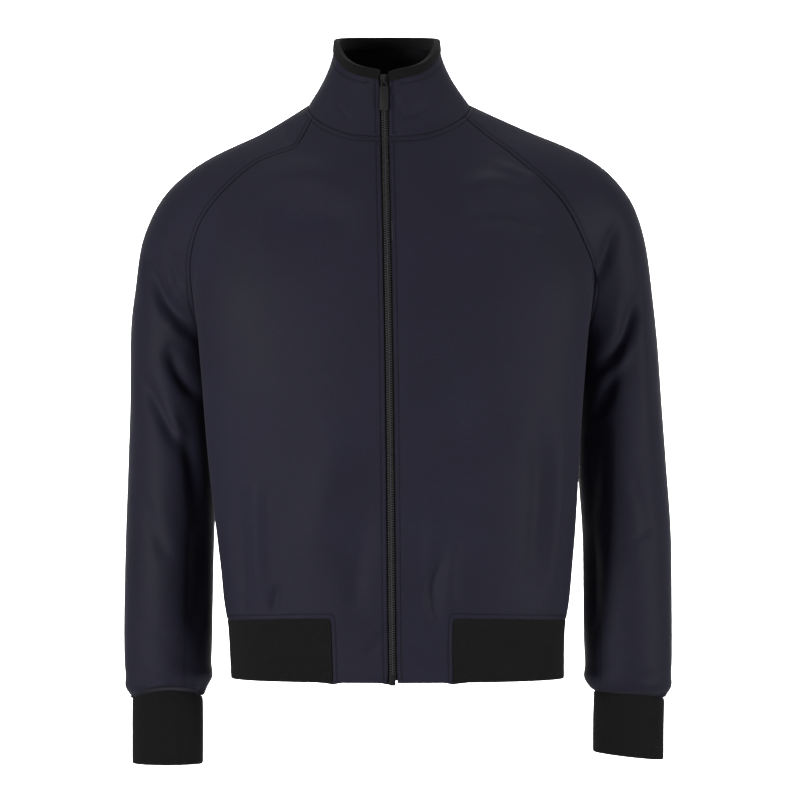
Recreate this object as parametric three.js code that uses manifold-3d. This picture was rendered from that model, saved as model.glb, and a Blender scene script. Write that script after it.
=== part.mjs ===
// Track jacket: a full-zip raglan blouson with a stand collar, filled out as it hangs when worn.
// Millimetres, +Z up, front towards -Y. The origin is the middle of the neck opening, level with
// the shoulder neck points. Right and left are the wearer's, so the right side is at -X.
import * as THREE from "three";
import { mergeVertices } from "three/addons/utils/BufferGeometryUtils.js";
import Module from "manifold-3d";

const wasm = await Module();
wasm.setup();

// Driving sizes
const CLOTH = 1.6; // smooth double jersey of the body and sleeves
const COLLAR_CLOTH = 1.2;
const LINING = 1.0;
const LAYER_GAP = 0.8; // between the collar's layers
const KNIT = 2.2; // the doubled knit of hem band and cuffs
const TRIM = 1.2;
const SEAM_GAP = 0.3;
const UNDERARM = 260; // heights are drops below the shoulder neck point
const HEM_SEAM = 568;
const HEM_EDGE = 640;
const HEM_SIDE_DIP = 6; // the hem seam hangs lower at the side seams
const SLEEVE_END = 660;
const CUFF_END = { right: 740, left: 731 };
const CUFF_END_TILT = { right: 0, left: 4.5 }; // the outer edge hangs lower than the inner one
const ZIP_OPENING = 5; // each front edge stops this far from the middle of the zip
const HEM_TAB = 68; // width from the zip to the end of the hem band

// The body, row by row: drop, middle of the section, half width, depth in front and behind
const BODY_ROWS = [
  { drop: -60, x: -8, y: -1, half: 70, front: 62, back: 64 },
  { drop: -20, x: -7, y: -1, half: 80, front: 68, back: 70 },
  { drop: 0, x: -6, y: -2, half: 88, front: 72, back: 82 },
  { drop: 38, x: -7, y: -5, half: 112, front: 72, back: 100 },
  { drop: 70, x: -7, y: -9, half: 150, front: 79, back: 114 },
  { drop: 105, x: -6, y: -15, half: 187, front: 84, back: 128 },
  { drop: 130, x: -5, y: -19, half: 206, front: 87, back: 135 },
  { drop: 155, x: -4, y: -22, half: 217, front: 90, back: 139 },
  { drop: 207, x: -1, y: -27, half: 224, front: 95, back: 144 },
  { drop: 257, x: -1, y: -28, half: 219, front: 97, back: 142 },
  { drop: 330, x: -1, y: -28, half: 213, front: 97, back: 134 },
  { drop: 400, x: 0, y: -27, half: 208, front: 95, back: 126 },
  { drop: 470, x: 2, y: -25, half: 202, front: 93, back: 123 },
  { drop: 530, x: 3, y: -23, half: 196, front: 92, back: 122 },
  { drop: 566, x: 3, y: -22, half: 193, front: 91, back: 121 },
  { drop: 580, x: 3, y: -21, half: 189, front: 88, back: 118 },
  { drop: 640, x: 4, y: -20, half: 187, front: 86, back: 116 },
];
const SQUARENESS = 2.15;

// Each arm from the neck to the sleeve end: middle of the section, half width across and half depth.
// The wearer's left arm (leftX) hangs a little further out than the right one.
const ARM_ROWS = [
  { drop: 34, rightX: 62, leftX: 56, y: 2, half: 30, depth: 42 },
  { drop: 52, rightX: 99, leftX: 104, y: 6, half: 38, depth: 50 },
  { drop: 82, rightX: 149, leftX: 160, y: 14, half: 50, depth: 60 },
  { drop: 109, rightX: 190, leftX: 201, y: 25, half: 56, depth: 66 },
  { drop: 134, rightX: 215, leftX: 219, y: 36, half: 59, depth: 68 },
  { drop: 165, rightX: 231, leftX: 230, y: 46, half: 58, depth: 69 },
  { drop: 205, rightX: 241, leftX: 240, y: 55, half: 54, depth: 68 },
  { drop: 257, rightX: 251, leftX: 250, y: 61, half: 50, depth: 67 },
  { drop: 330, rightX: 251, leftX: 255, y: 58, half: 50, depth: 66 },
  { drop: 400, rightX: 252, leftX: 259, y: 54, half: 51, depth: 65 },
  { drop: 500, rightX: 255, leftX: 265, y: 46, half: 51, depth: 60 },
  { drop: 590, rightX: 256, leftX: 265, y: 35, half: 51, depth: 54 },
  { drop: 645, rightX: 256, leftX: 266, y: 29, half: 49, depth: 46 },
  { drop: 662, rightX: 256, leftX: 266, y: 27, half: 43, depth: 33 },
  { drop: 700, rightX: 256, leftX: 265, y: 26, half: 40, depth: 26 },
  { drop: 760, rightX: 256, leftX: 265, y: 24, half: 40, depth: 26 },
];
const CUFF = { half: 41, depth: 29, y: 26 };

// How widely the shoulder blends into the body, dropping to nothing at the underarm
const BLEND_ROWS = [
  { drop: -60, blend: 34 },
  { drop: 40, blend: 56 },
  { drop: 120, blend: 60 },
  { drop: 180, blend: 34 },
  { drop: 230, blend: 10 },
  { drop: 257, blend: 0.5 },
];

// The zip line leans towards the wearer's right at the neck
const ZIP_ROWS = [
  { drop: -60, x: -11.5 },
  { drop: 38, x: -10 },
  { drop: 150, x: -7.5 },
  { drop: 330, x: -4.5 },
  { drop: 640, x: -1.5 },
];

// Neck seam: drop against the angle round the neck, from the middle of the front to the nape
const NECK_ROWS = [
  { angle: 0, drop: 38 },
  { angle: 18, drop: 36 },
  { angle: 35, drop: 27 },
  { angle: 56, drop: 13 },
  { angle: 73, drop: 2 },
  { angle: 90, drop: -4 },
  { angle: 120, drop: -9 },
  { angle: 180, drop: -14 },
];
const SLEEVE_TOP = { front: 56, back: 116 }; // angles at which the raglan seams reach the neck

// Raglan seams as seen from the front and the back: distance from the middle, and drop
const RAGLAN_ROWS = {
  right: {
    front: [
      { x: 110, drop: 49 },
      { x: 148, drop: 61 },
      { x: 171, drop: 78 },
      { x: 198, drop: 104 },
      { x: 216, drop: 128 },
      { x: 225, drop: 155 },
    ],
    back: [
      { x: 108, drop: 24 },
      { x: 142, drop: 62 },
      { x: 168, drop: 104 },
      { x: 184, drop: 150 },
    ],
  },
  left: {
    front: [
      { x: 120, drop: 46 },
      { x: 153, drop: 74 },
      { x: 181, drop: 98 },
      { x: 201, drop: 128 },
      { x: 214, drop: 156 },
    ],
    back: [
      { x: 96, drop: 24 },
      { x: 132, drop: 62 },
      { x: 160, drop: 104 },
      { x: 178, drop: 150 },
    ],
  },
};
// The armhole's lowest curve: angles round the body of its front and back branches
const ARMHOLE_ROWS = [
  { drop: 180, front: 89, back: 132 },
  { drop: 205, front: 93.5, back: 130 },
  { drop: 225, front: 97, back: 126 },
  { drop: 240, front: 101, back: 122 },
  { drop: 251, front: 105, back: 118 },
  { drop: 258, front: 109, back: 113.5 },
  { drop: UNDERARM, front: 111, back: 111 },
];
const SIDE_SEAM_FOOT = 102; // angle of the side seam at the hem

// The largest folds as seen from the front or back: start, middle and end of the run (x, drop),
// how wide it is, and how deep. A negative depth is a ridge.
const FOLD_ROWS = {
  front: [
    { x0: -278, d0: 166, x1: -251, d1: 225, x2: -222, d2: 254, width: 13, depth: 5 },
    { x0: -256, d0: 150, x1: -243, d1: 176, x2: -231, d2: 200, width: 10, depth: 2.5 },
    { x0: -256, d0: 268, x1: -240, d1: 300, x2: -216, d2: 318, width: 12, depth: 3.5 },
    { x0: -284, d0: 300, x1: -265, d1: 333, x2: -240, d2: 388, width: 13, depth: 4 },
    { x0: 252, d0: 122, x1: 233, d1: 180, x2: 220, d2: 212, width: 12, depth: 4 },
    { x0: 274, d0: 204, x1: 264, d1: 245, x2: 228, d2: 288, width: 13, depth: 4.5 },
    { x0: 280, d0: 252, x1: 246, d1: 300, x2: 230, d2: 334, width: 12, depth: 3.5 },
    { x0: -147, d0: 400, x1: -147, d1: 480, x2: -145, d2: 556, width: 14, depth: -2.5 },
    { x0: 60, d0: 488, x1: 42, d1: 528, x2: 50, d2: 572, width: 11, depth: 2.5 },
    { x0: 168, d0: 360, x1: 158, d1: 450, x2: 150, d2: 560, width: 18, depth: 2 },
  ],
  back: [
    { x0: -288, d0: 186, x1: -262, d1: 232, x2: -226, d2: 262, width: 15, depth: 4.5 },
    { x0: -292, d0: 292, x1: -266, d1: 330, x2: -232, d2: 352, width: 15, depth: 4 },
    { x0: -284, d0: 396, x1: -262, d1: 430, x2: -236, d2: 470, width: 14, depth: 3.5 },
    { x0: 286, d0: 194, x1: 258, d1: 236, x2: 224, d2: 270, width: 15, depth: 4.5 },
    { x0: 296, d0: 284, x1: 272, d1: 318, x2: 238, d2: 344, width: 15, depth: 4 },
    { x0: 294, d0: 404, x1: 272, d1: 436, x2: 246, d2: 480, width: 14, depth: 3.5 },
    { x0: -146, d0: 250, x1: -128, d1: 380, x2: -120, d2: 520, width: 22, depth: 3 },
    { x0: 138, d0: 230, x1: 122, d1: 370, x2: 112, d2: 530, width: 22, depth: 3.5 },
    { x0: -70, d0: 40, x1: 0, d1: 58, x2: 74, d2: 38, width: 14, depth: 2.5 },
  ],
};

// Mesh counts
const RAGLAN_STEPS = 16;
const SIDE_STEPS = 14;
const FRONT_COLUMNS = 13;
const BACK_COLUMNS = 20;
const SLEEVE_COLUMNS = 20;
const SLEEVE_STEPS = 20; // below the underarm
const COLLAR_COLUMNS = 40;

const SIDES = { right: -1, left: 1 };
const degrees = THREE.MathUtils.degToRad;
const { lerp, clamp } = THREE.MathUtils;

// A smooth curve through one column of a table, without overshoot
function track(rows, along, column) {
  const at = rows.map((row) => row[along]);
  const value = rows.map((row) => row[column]);
  const last = rows.length - 1;
  const rise = (i) => (value[i + 1] - value[i]) / (at[i + 1] - at[i]);
  const slope = rows.map((_, i) => {
    if (i === 0) return rise(0);
    if (i === last) return rise(last - 1);
    const before = rise(i - 1);
    const after = rise(i);
    return before * after <= 0 ? 0 : (2 * before * after) / (before + after);
  });
  return (x) => {
    let i = 0;
    while (i < last - 1 && x > at[i + 1]) i += 1;
    const span = at[i + 1] - at[i];
    const u = clamp((x - at[i]) / span, 0, 1);
    const s = u * u * (3 - 2 * u);
    const start = u * (1 - u) * (1 - u) * span * slope[i];
    const end = u * u * (1 - u) * span * slope[i + 1];
    return lerp(value[i], value[i + 1], s) + start - end;
  };
}

const body = {
  x: track(BODY_ROWS, "drop", "x"),
  y: track(BODY_ROWS, "drop", "y"),
  half: track(BODY_ROWS, "drop", "half"),
  front: track(BODY_ROWS, "drop", "front"),
  back: track(BODY_ROWS, "drop", "back"),
};
const blendAt = track(BLEND_ROWS, "drop", "blend");
const zipX = track(ZIP_ROWS, "drop", "x");
const neckDrop = track(NECK_ROWS, "angle", "drop");

// Distance from the body's section at the point's own height, negative inside
function bodyField(p) {
  const drop = -p.z;
  const dx = p.x - body.x(drop);
  const dy = p.y - body.y(drop);
  const depth = dy < 0 ? body.front(drop) : body.back(drop);
  const across = Math.abs(dx) / body.half(drop);
  const ratio = (across ** SQUARENESS + (Math.abs(dy) / depth) ** SQUARENESS) ** (1 / SQUARENESS);
  const reach = Math.hypot(dx, dy);
  return ratio < 0.05 ? -depth : reach * (1 - 1 / ratio);
}

// An arm's axis as a chain of short steps, each with its own half width and half depth
const ARM_CHAIN_STEPS = 56;
function armChain(side) {
  const rows = ARM_ROWS.map((row, i) => ({ i, x: SIDES[side] * row[side + "X"], ...row }));
  const column = Object.fromEntries(
    ["x", "y", "drop", "half", "depth"].map((name) => [name, track(rows, "i", name)]),
  );
  return Array.from({ length: ARM_CHAIN_STEPS + 1 }, (_, k) => {
    const at = (k / ARM_CHAIN_STEPS) * (rows.length - 1);
    const half = column.half(at);
    const middle = new THREE.Vector3(column.x(at), column.y(at), -column.drop(at));
    return { middle, half, flatness: column.depth(at) / half };
  });
}
const arms = { right: armChain("right"), left: armChain("left") };

// The place on an arm's axis that is nearest to a point, seen from the front
function nearestOnArm(side, p) {
  let best = { gap: Infinity };
  const chain = arms[side];
  for (let k = 0; k < ARM_CHAIN_STEPS; k += 1) {
    const a = chain[k].middle;
    const b = chain[k + 1].middle;
    const ux = b.x - a.x;
    const uz = b.z - a.z;
    const along = clamp(((p.x - a.x) * ux + (p.z - a.z) * uz) / (ux * ux + uz * uz), 0, 1);
    const gap = Math.hypot(p.x - a.x - along * ux, p.z - a.z - along * uz);
    if (gap < best.gap) best = { gap, k, along };
  }
  return best;
}

function armField(side, p) {
  const { gap, k, along } = nearestOnArm(side, p);
  const a = arms[side][k];
  const b = arms[side][k + 1];
  const y = lerp(a.middle.y, b.middle.y, along);
  const flatness = lerp(a.flatness, b.flatness, along);
  return Math.hypot(gap, (p.y - y) / flatness) - lerp(a.half, b.half, along);
}

// The whole garment: body and the nearer arm, blended where the shoulder is
function garmentField(p) {
  const torso = bodyField(p);
  const arm = armField(p.x < body.x(-p.z) ? "right" : "left", p);
  const blend = blendAt(-p.z);
  const near = Math.max(blend - Math.abs(torso - arm), 0) / blend;
  return Math.min(torso, arm) - (near ** 3 * blend) / 6;
}

const NORMAL_STEP = 0.8;
function normalOf(field, p) {
  const q = p.clone();
  const slope = ["x", "y", "z"].map((axis) => {
    q[axis] = p[axis] + NORMAL_STEP;
    const ahead = field(q);
    q[axis] = p[axis] - NORMAL_STEP;
    const behind = field(q);
    q[axis] = p[axis];
    return ahead - behind;
  });
  return new THREE.Vector3(...slope).normalize();
}

// Walks out from a point to the first place where the field turns positive
const WALK = 1.5;
function cast(field, from, direction, start, end) {
  const p = new THREE.Vector3();
  const at = (r) => field(p.copy(from).addScaledVector(direction, r));
  let inside = start;
  let outside = start + WALK;
  while (at(outside) < 0) {
    inside = outside;
    outside += WALK;
    if (outside > end) return null;
  }
  for (let i = 0; i < 22; i += 1) {
    const half = (inside + outside) / 2;
    if (at(half) < 0) inside = half;
    else outside = half;
  }
  return p.copy(from).addScaledVector(direction, inside);
}

// A point of the body's skin at an angle round it (0 front, 90 wearer's left, 180 back) and a drop
const VALLEY_START = 185; // below this, body and sleeve meet in a valley and keep their own normals
const SKIN_REACH = 60; // how far the blended shoulder may stand out from the body's own section
function skin(angle, drop) {
  const from = new THREE.Vector3(body.x(drop), body.y(drop), -drop);
  const t = degrees(angle);
  const depth = Math.cos(t) > 0 ? body.front(drop) : body.back(drop);
  const direction = new THREE.Vector3(body.half(drop) * Math.sin(t), -depth * Math.cos(t), 0);
  direction.normalize();
  const own = cast(bodyField, from, direction, 20, 400);
  const joined = drop < UNDERARM - 1;
  const reach = own.distanceTo(from);
  const end = reach + SKIN_REACH;
  const point = (joined && cast(garmentField, from, direction, reach - 2, end)) || own;
  const field = drop < VALLEY_START ? garmentField : bodyField;
  return { point, normal: normalOf(field, point) };
}

function angleOf(point) {
  const drop = -point.z;
  const dx = (point.x - body.x(drop)) / body.half(drop);
  const dy = point.y - body.y(drop);
  const depth = dy < 0 ? body.front(drop) : body.back(drop);
  return THREE.MathUtils.radToDeg(Math.atan2(dx, -dy / depth));
}

// The angle at which the skin has a given x, on the front or the back
function angleAtX(x, drop, facing) {
  const out = new THREE.Vector3(0, facing, 0);
  const hit = cast(garmentField, new THREE.Vector3(x, body.y(drop), -drop), out, 0, 300);
  return angleOf(hit);
}

// A raglan seam from the neck to the underarm, as steps of equal length with angle and drop
function raglanSeam(side, face) {
  const sign = SIDES[side];
  const facing = face === "front" ? -1 : 1;
  const top = SLEEVE_TOP[face];
  const rows = [{ angle: top, drop: neckDrop(top) }];
  for (const row of RAGLAN_ROWS[side][face]) {
    rows.push({ angle: Math.abs(angleAtX(sign * row.x, row.drop, facing)), drop: row.drop });
  }
  for (const row of ARMHOLE_ROWS) rows.push({ angle: row[face], drop: row.drop });
  const path = new THREE.CatmullRomCurve3(
    rows.map((row) => new THREE.Vector3(row.angle, row.drop, 0)),
    false,
    "centripetal",
  );
  const fine = Array.from({ length: 161 }, (_, i) => path.getPoint(i / 160));
  const length = [0];
  let before = skin(sign * fine[0].x, fine[0].y).point;
  for (const place of fine.slice(1)) {
    const here = skin(sign * place.x, place.y).point;
    length.push(length.at(-1) + here.distanceTo(before));
    before = here;
  }
  return Array.from({ length: RAGLAN_STEPS + 1 }, (_, i) => {
    const want = (length.at(-1) * i) / RAGLAN_STEPS;
    const k = Math.max(1, length.findIndex((l) => l >= want - 1e-6));
    const u = (want - length[k - 1]) / (length[k] - length[k - 1]);
    const place = fine[k - 1].clone().lerp(fine[k], u);
    return { angle: sign * place.x, drop: place.y };
  });
}
const raglan = {};
for (const side of ["right", "left"]) {
  raglan[side] = { front: raglanSeam(side, "front"), back: raglanSeam(side, "back") };
}

// The hem seam dips a little towards the sides
function hemSeam(angle) {
  return HEM_SEAM + HEM_SIDE_DIP * Math.sin(degrees(angle)) ** 2;
}

function sideSeam(side, i) {
  const u = i / SIDE_STEPS;
  const foot = hemSeam(SIDE_SEAM_FOOT);
  const angle = SIDES[side] * lerp(ARMHOLE_ROWS.at(-1).front, SIDE_SEAM_FOOT, u);
  return { angle, drop: lerp(UNDERARM, foot, u) };
}

// Outer edge of the front or back, from the neck down the raglan seam and the side seam
function outerEdge(side, face) {
  const below = Array.from({ length: SIDE_STEPS }, (_, i) => sideSeam(side, i + 1));
  return [...raglan[side][face], ...below];
}

// How far the folds push a point of the cloth in
const FOLD_STEPS = 10;
function foldDepth({ point, normal }) {
  const rows = normal.y < 0 ? FOLD_ROWS.front : FOLD_ROWS.back;
  const facing = THREE.MathUtils.smoothstep(Math.abs(normal.y), 0.1, 0.5);
  let sum = 0;
  for (const { x0, d0, x1, d1, x2, d2, width, depth } of rows) {
    let best = { gap: Infinity, u: 0 };
    for (let i = 0; i <= FOLD_STEPS; i += 1) {
      const u = i / FOLD_STEPS;
      const x = lerp(lerp(x0, x1, u), lerp(x1, x2, u), u);
      const drop = lerp(lerp(d0, d1, u), lerp(d1, d2, u), u);
      const gap = Math.hypot(point.x - x, -point.z - drop);
      if (gap < best.gap) best = { gap, u };
    }
    const fade = Math.sqrt(Math.max(0, 4 * best.u * (1 - best.u)));
    sum += depth * fade * Math.exp(-((best.gap / width) ** 2));
  }
  return sum * facing;
}

// Presses the folds into a grid, but not into its seams
function creased(grid) {
  for (const row of grid.slice(1, -1)) {
    for (const cell of row.slice(1, -1)) {
      cell.point.addScaledVector(cell.normal, -foldDepth(cell));
    }
  }
  return grid;
}

// Moves the border points of a grid in from the seam, along the cloth
function drawIn(grid, sides) {
  const gap = SEAM_GAP / 2;
  const pull = (edge, next) => {
    const step = next.point.clone().sub(edge.point);
    edge.point.addScaledVector(step.normalize(), gap);
  };
  if (sides.includes("first")) grid.forEach((row) => pull(row[0], row[1]));
  if (sides.includes("last")) grid.forEach((row) => pull(row.at(-1), row.at(-2)));
  if (sides.includes("top")) grid[0].forEach((cell, j) => pull(cell, grid[1][j]));
  if (sides.includes("bottom")) grid.at(-1).forEach((cell, j) => pull(cell, grid.at(-2)[j]));
  return grid;
}

// A cloth wall from a grid of outer points with normals. From row closedFrom on, the last column
// is joined to the first one, as in a tube. Where a row is shorter than the one above, the wall ends.
function wall(grid, thickness, closedFrom = Infinity) {
  const points = [];
  const index = grid.map((row, i) => {
    const found = [];
    row.forEach(({ point, normal }, j) => {
      if (i >= closedFrom && j === row.length - 1) {
        found.push(found[0]);
        return;
      }
      found.push(points.length);
      points.push(point, point.clone().addScaledVector(normal, -thickness));
    });
    return found;
  });
  const faces = [];
  const rims = new Map();
  for (let i = 0; i < index.length - 1; i += 1) {
    for (let j = 0; j < index[i + 1].length - 1; j += 1) {
      const corners = [index[i][j], index[i + 1][j], index[i + 1][j + 1], index[i][j + 1]];
      const [a, b, c, d] = corners;
      faces.push(a, b, c, a, c, d);
      faces.push(a + 1, c + 1, b + 1, a + 1, d + 1, c + 1);
      corners.forEach((from, k) => {
        const to = corners[(k + 1) % corners.length];
        if (!rims.delete(`${to} ${from}`)) rims.set(`${from} ${to}`, [from, to]);
      });
    }
  }
  for (const [from, to] of rims.values()) {
    if (from < to) faces.push(to, from, to + 1, from, from + 1, to + 1);
    else faces.push(to, from, from + 1, to, from + 1, to + 1);
  }
  return solid(points, faces);
}

// A geometry from points and faces, turned so that its faces point out
function solid(points, faces) {
  let volume = 0;
  for (let f = 0; f < faces.length; f += 3) {
    const [a, b, c] = [points[faces[f]], points[faces[f + 1]], points[faces[f + 2]]];
    volume += a.dot(new THREE.Vector3().crossVectors(b, c));
  }
  if (volume < 0) faces.reverse();
  const geometry = new THREE.BufferGeometry();
  geometry.setFromPoints(points);
  geometry.setIndex(faces);
  geometry.computeVertexNormals();
  return geometry;
}

const evenly = (steps) => Array.from({ length: steps + 1 }, (_, i) => i / steps);

// The middle of a panel's rows leaves the neck seam's curve within this many rows
const NECK_EASE_ROWS = 7;

// A panel between two edges: each row runs round the body from one edge to the other
function panelGrid(first, last, shares) {
  const foot = hemSeam(0);
  return first.map((a, i) => {
    const b = last[i];
    return shares.map((u) => {
      const angle = lerp(a.angle, b.angle, u);
      const straight = lerp(a.drop, b.drop, u);
      const top = lerp(first[0].angle, last[0].angle, u);
      const neck = neckDrop(Math.min(Math.abs(top), 360 - Math.abs(top)));
      const bow = neck - lerp(first[0].drop, last[0].drop, u);
      const ease = Math.max(0, 1 - i / NECK_EASE_ROWS) ** 2;
      const hem = hemSeam(angle) - lerp(hemSeam(a.angle), hemSeam(b.angle), u);
      const low = (clamp(straight / foot, 0, 1)) ** 6;
      return skin(angle, straight + bow * ease + hem * low);
    });
  });
}

// Where the hem's knit band begins, on the wearer's left or right
function bandEnd(side) {
  return angleAtX(zipX(HEM_SEAM) + SIDES[side] * HEM_TAB, HEM_SEAM, -1);
}

// Each front reaches the hem in a tab between the zip and the knit band
const TAB_COLUMNS = 4;
const TAB_ROWS = [0.12, 0.5, 0.88, 1];
function frontPanel(side) {
  const sign = SIDES[side];
  const edge = outerEdge(side, "front");
  const neck = neckDrop(0);
  const stretch = (hemSeam(0) - neck) / (hemSeam(SIDE_SEAM_FOOT) - edge[0].drop);
  const middle = edge.map((row) => {
    const drop = neck + (row.drop - edge[0].drop) * stretch;
    return { angle: angleAtX(zipX(drop) + sign * ZIP_OPENING, drop, -1), drop };
  });
  const inner = middle.at(-1).angle;
  const tab = (bandEnd(side) - inner) / (edge.at(-1).angle - inner);
  const rest = FRONT_COLUMNS - TAB_COLUMNS;
  const shares = evenly(TAB_COLUMNS).map((u) => u * tab);
  shares.push(...evenly(rest).slice(1).map((u) => lerp(tab, 1, u)));
  const grid = creased(panelGrid(middle, edge, shares));
  drawIn(grid, ["first", "last", "top"]);
  drawIn(grid.map((row) => row.slice(TAB_COLUMNS)), ["bottom"]);
  const rows = TAB_ROWS.map((v) => {
    return evenly(TAB_COLUMNS).map((u) => {
      const angle = lerp(inner, bandEnd(side), u);
      return skin(angle, lerp(hemSeam(angle), HEM_EDGE, v));
    });
  });
  drawIn(rows, ["first", "last"]);
  return [...grid, ...rows];
}

function backPanel() {
  const right = outerEdge("right", "back");
  const left = outerEdge("left", "back");
  const turned = left.map((row) => ({ angle: row.angle - 360, drop: row.drop }));
  return panelGrid(right, turned, evenly(BACK_COLUMNS));
}

// Sleeve stations: the arm's axis point and the direction of the shoulder ridge from it
function sleeveStation(side, at) {
  const chain = arms[side];
  const k = Math.min(Math.floor(at), ARM_CHAIN_STEPS - 1);
  const a = chain[k].middle;
  const b = chain[k + 1].middle;
  const from = a.clone().lerp(b, at - k);
  const before = chain[Math.max(k - 2, 0)].middle;
  const after = chain[Math.min(k + 3, ARM_CHAIN_STEPS)].middle;
  const along = after.clone().sub(before).setY(0).normalize();
  const ridge = new THREE.Vector3(-along.z * SIDES[side], 0, along.x * SIDES[side]);
  return { from, along, ridge };
}

function chainAtDrop(side, drop) {
  const chain = arms[side];
  const k = chain.findIndex((link, i) => i > 0 && -link.middle.z >= drop);
  const a = -chain[k - 1].middle.z;
  return k - 1 + (drop - a) / (-chain[k].middle.z - a);
}

// The underarm seam turns from the inner side of the arm towards its front at the cuff
const SEAM_TURN_ROWS = [
  { drop: 257, turn: -51 },
  { drop: 330, turn: -52 },
  { drop: 400, turn: -49 },
  { drop: 560, turn: -41 },
  { drop: 700, turn: -34 },
];
const seamTurn = track(SEAM_TURN_ROWS, "drop", "turn");

// The sleeve end hangs higher at the front than at its outer and inner sides
const SLEEVE_END_RISE = { right: { front: 11, inner: 2 }, left: { front: 6, inner: 9 } };
function sleeveEnd(side, turn) {
  const { front, inner } = SLEEVE_END_RISE[side];
  const ahead = Math.max(0, Math.cos(degrees(turn)));
  const inward = Math.max(0, -Math.sin(degrees(turn)));
  return SLEEVE_END + 5 - front * ahead ** 2 - inner * inward ** 2;
}

function sleeveSeam(side, { angle, drop }) {
  const cell = skin(angle, drop);
  if (drop > VALLEY_START) cell.normal = normalOf((p) => armField(side, p), cell.point);
  return cell;
}

const SLEEVE_LIP = 5; // the sleeve's last stretch turns in to the cuff
const CUFF_ROUNDING = 0.7;
const FIRST_STATION = 4.5; // where on the arm's axis the sleeve's first rows look out from
function sleeveGrid(side) {
  const { front, back } = raglan[side];
  const under = chainAtDrop(side, UNDERARM);
  const grid = front.map((row, i) => {
    if (i === 0) return neckRow(side);
    const a = sleeveSeam(side, row);
    const b = sleeveSeam(side, back[i]);
    const u = i / RAGLAN_STEPS;
    const { from, along, ridge } = sleeveStation(side, lerp(FIRST_STATION, under, u));
    const look = (cell) => {
      const v = cell.point.clone().sub(from);
      const ahead = -v.y;
      const up = v.dot(ridge);
      const flat = Math.hypot(ahead, up);
      return { turn: THREE.MathUtils.radToDeg(Math.atan2(up, ahead)), lean: v.dot(along) / flat };
    };
    const first = look(a);
    const last = look(b);
    if (last.turn < first.turn || last.turn < 0) last.turn += 360;
    return Array.from({ length: SLEEVE_COLUMNS + 1 }, (_, j) => {
      if (j === 0) return a;
      if (j === SLEEVE_COLUMNS) return b;
      const w = j / SLEEVE_COLUMNS;
      const turn = degrees(lerp(first.turn, last.turn, w));
      const lean = first.lean * Math.max(0, 1 - 2 * w) + last.lean * Math.max(0, 2 * w - 1);
      const out = new THREE.Vector3(0, -Math.cos(turn), 0);
      out.addScaledVector(ridge, Math.sin(turn)).addScaledVector(along, lean).normalize();
      const point = cast(garmentField, from, out, 12, 400);
      return { point, normal: normalOf(garmentField, point) };
    });
  });
  const arm = (p) => armField(side, p);
  for (let i = 1; i < SLEEVE_STEPS; i += 1) {
    const u = i / (SLEEVE_STEPS - 1);
    const seam = seamTurn(lerp(UNDERARM, SLEEVE_END, u));
    grid.push(
      Array.from({ length: SLEEVE_COLUMNS + 1 }, (_, j) => {
        const turn = seam + (360 * j) / SLEEVE_COLUMNS;
        return armSkin(side, arm, turn, lerp(UNDERARM, sleeveEnd(side, turn) - SLEEVE_LIP, u));
      }),
    );
  }
  grid.push(cuffRing(side, 0, (turn) => sleeveEnd(side, turn)));
  return grid;
}

// A ring of the cuff's own section, starting at the sleeve's underarm seam
function cuffRing(side, inset, dropAt) {
  const sign = SIDES[side];
  return Array.from({ length: SLEEVE_COLUMNS + 1 }, (_, j) => {
    const turn = seamTurn(SLEEVE_END) + (360 * j) / SLEEVE_COLUMNS;
    const t = degrees(turn);
    const drop = dropAt(turn);
    const middle = armMiddle(side, drop);
    const half = CUFF.half - inset;
    const depth = CUFF.depth - inset;
    const x = middle.x + sign * half * Math.sin(t);
    const point = new THREE.Vector3(x, CUFF.y - depth * Math.cos(t), -drop);
    const normal = new THREE.Vector3(sign * depth * Math.sin(t), -half * Math.cos(t), 0);
    return { point, normal: normal.normalize() };
  });
}

function cuffGrid(side) {
  return [0, 0.08, 0.4, 0.7, 0.95, 1].map((v) => {
    const inset = v === 0 || v === 1 ? CUFF_ROUNDING : 0;
    return cuffRing(side, inset, (turn) => {
      const end = CUFF_END[side] + CUFF_END_TILT[side] * Math.sin(degrees(turn));
      return lerp(sleeveEnd(side, turn) + SEAM_GAP, end, v);
    });
  });
}

function armMiddle(side, drop) {
  const { from } = sleeveStation(side, chainAtDrop(side, drop));
  return from.setZ(-drop);
}

// A point of the hanging arm's skin at a turn round it (0 front, 90 outer side) and a drop
function armSkin(side, field, turn, drop) {
  const from = armMiddle(side, drop);
  const t = degrees(turn);
  const out = new THREE.Vector3(SIDES[side] * Math.sin(t), -Math.cos(t), 0);
  const point = cast(field, from, out, 8, 200);
  return { point, normal: normalOf(field, point) };
}

// The sleeve's short edge on the neck seam
function neckRow(side) {
  return Array.from({ length: SLEEVE_COLUMNS + 1 }, (_, j) => {
    const angle = lerp(SLEEVE_TOP.front, SLEEVE_TOP.back, j / SLEEVE_COLUMNS);
    return skin(SIDES[side] * angle, neckDrop(angle));
  });
}

// Collar: rings from the neck seam to the top edge, which stands higher at the nape
const COLLAR_TOP_ROWS = [
  { angle: 0, rise: 33 },
  { angle: 12, rise: 37 },
  { angle: 34, rise: 42 },
  { angle: 55, rise: 52 },
  { angle: 75, rise: 67 },
  { angle: 95, rise: 76 },
  { angle: 135, rise: 82 },
  { angle: 180, rise: 84 },
];
const COLLAR_TOP = { x: -8, y: 0, half: 58.5, depth: 71, backDepth: 66 };
const COLLAR_FLARE = 1.7; // over 1, so the collar flares outwards at its foot
const COLLAR_STEPS = 4;
const COLLAR_SEAM = 0.5;
const collarRise = track(COLLAR_TOP_ROWS, "angle", "rise");

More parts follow.
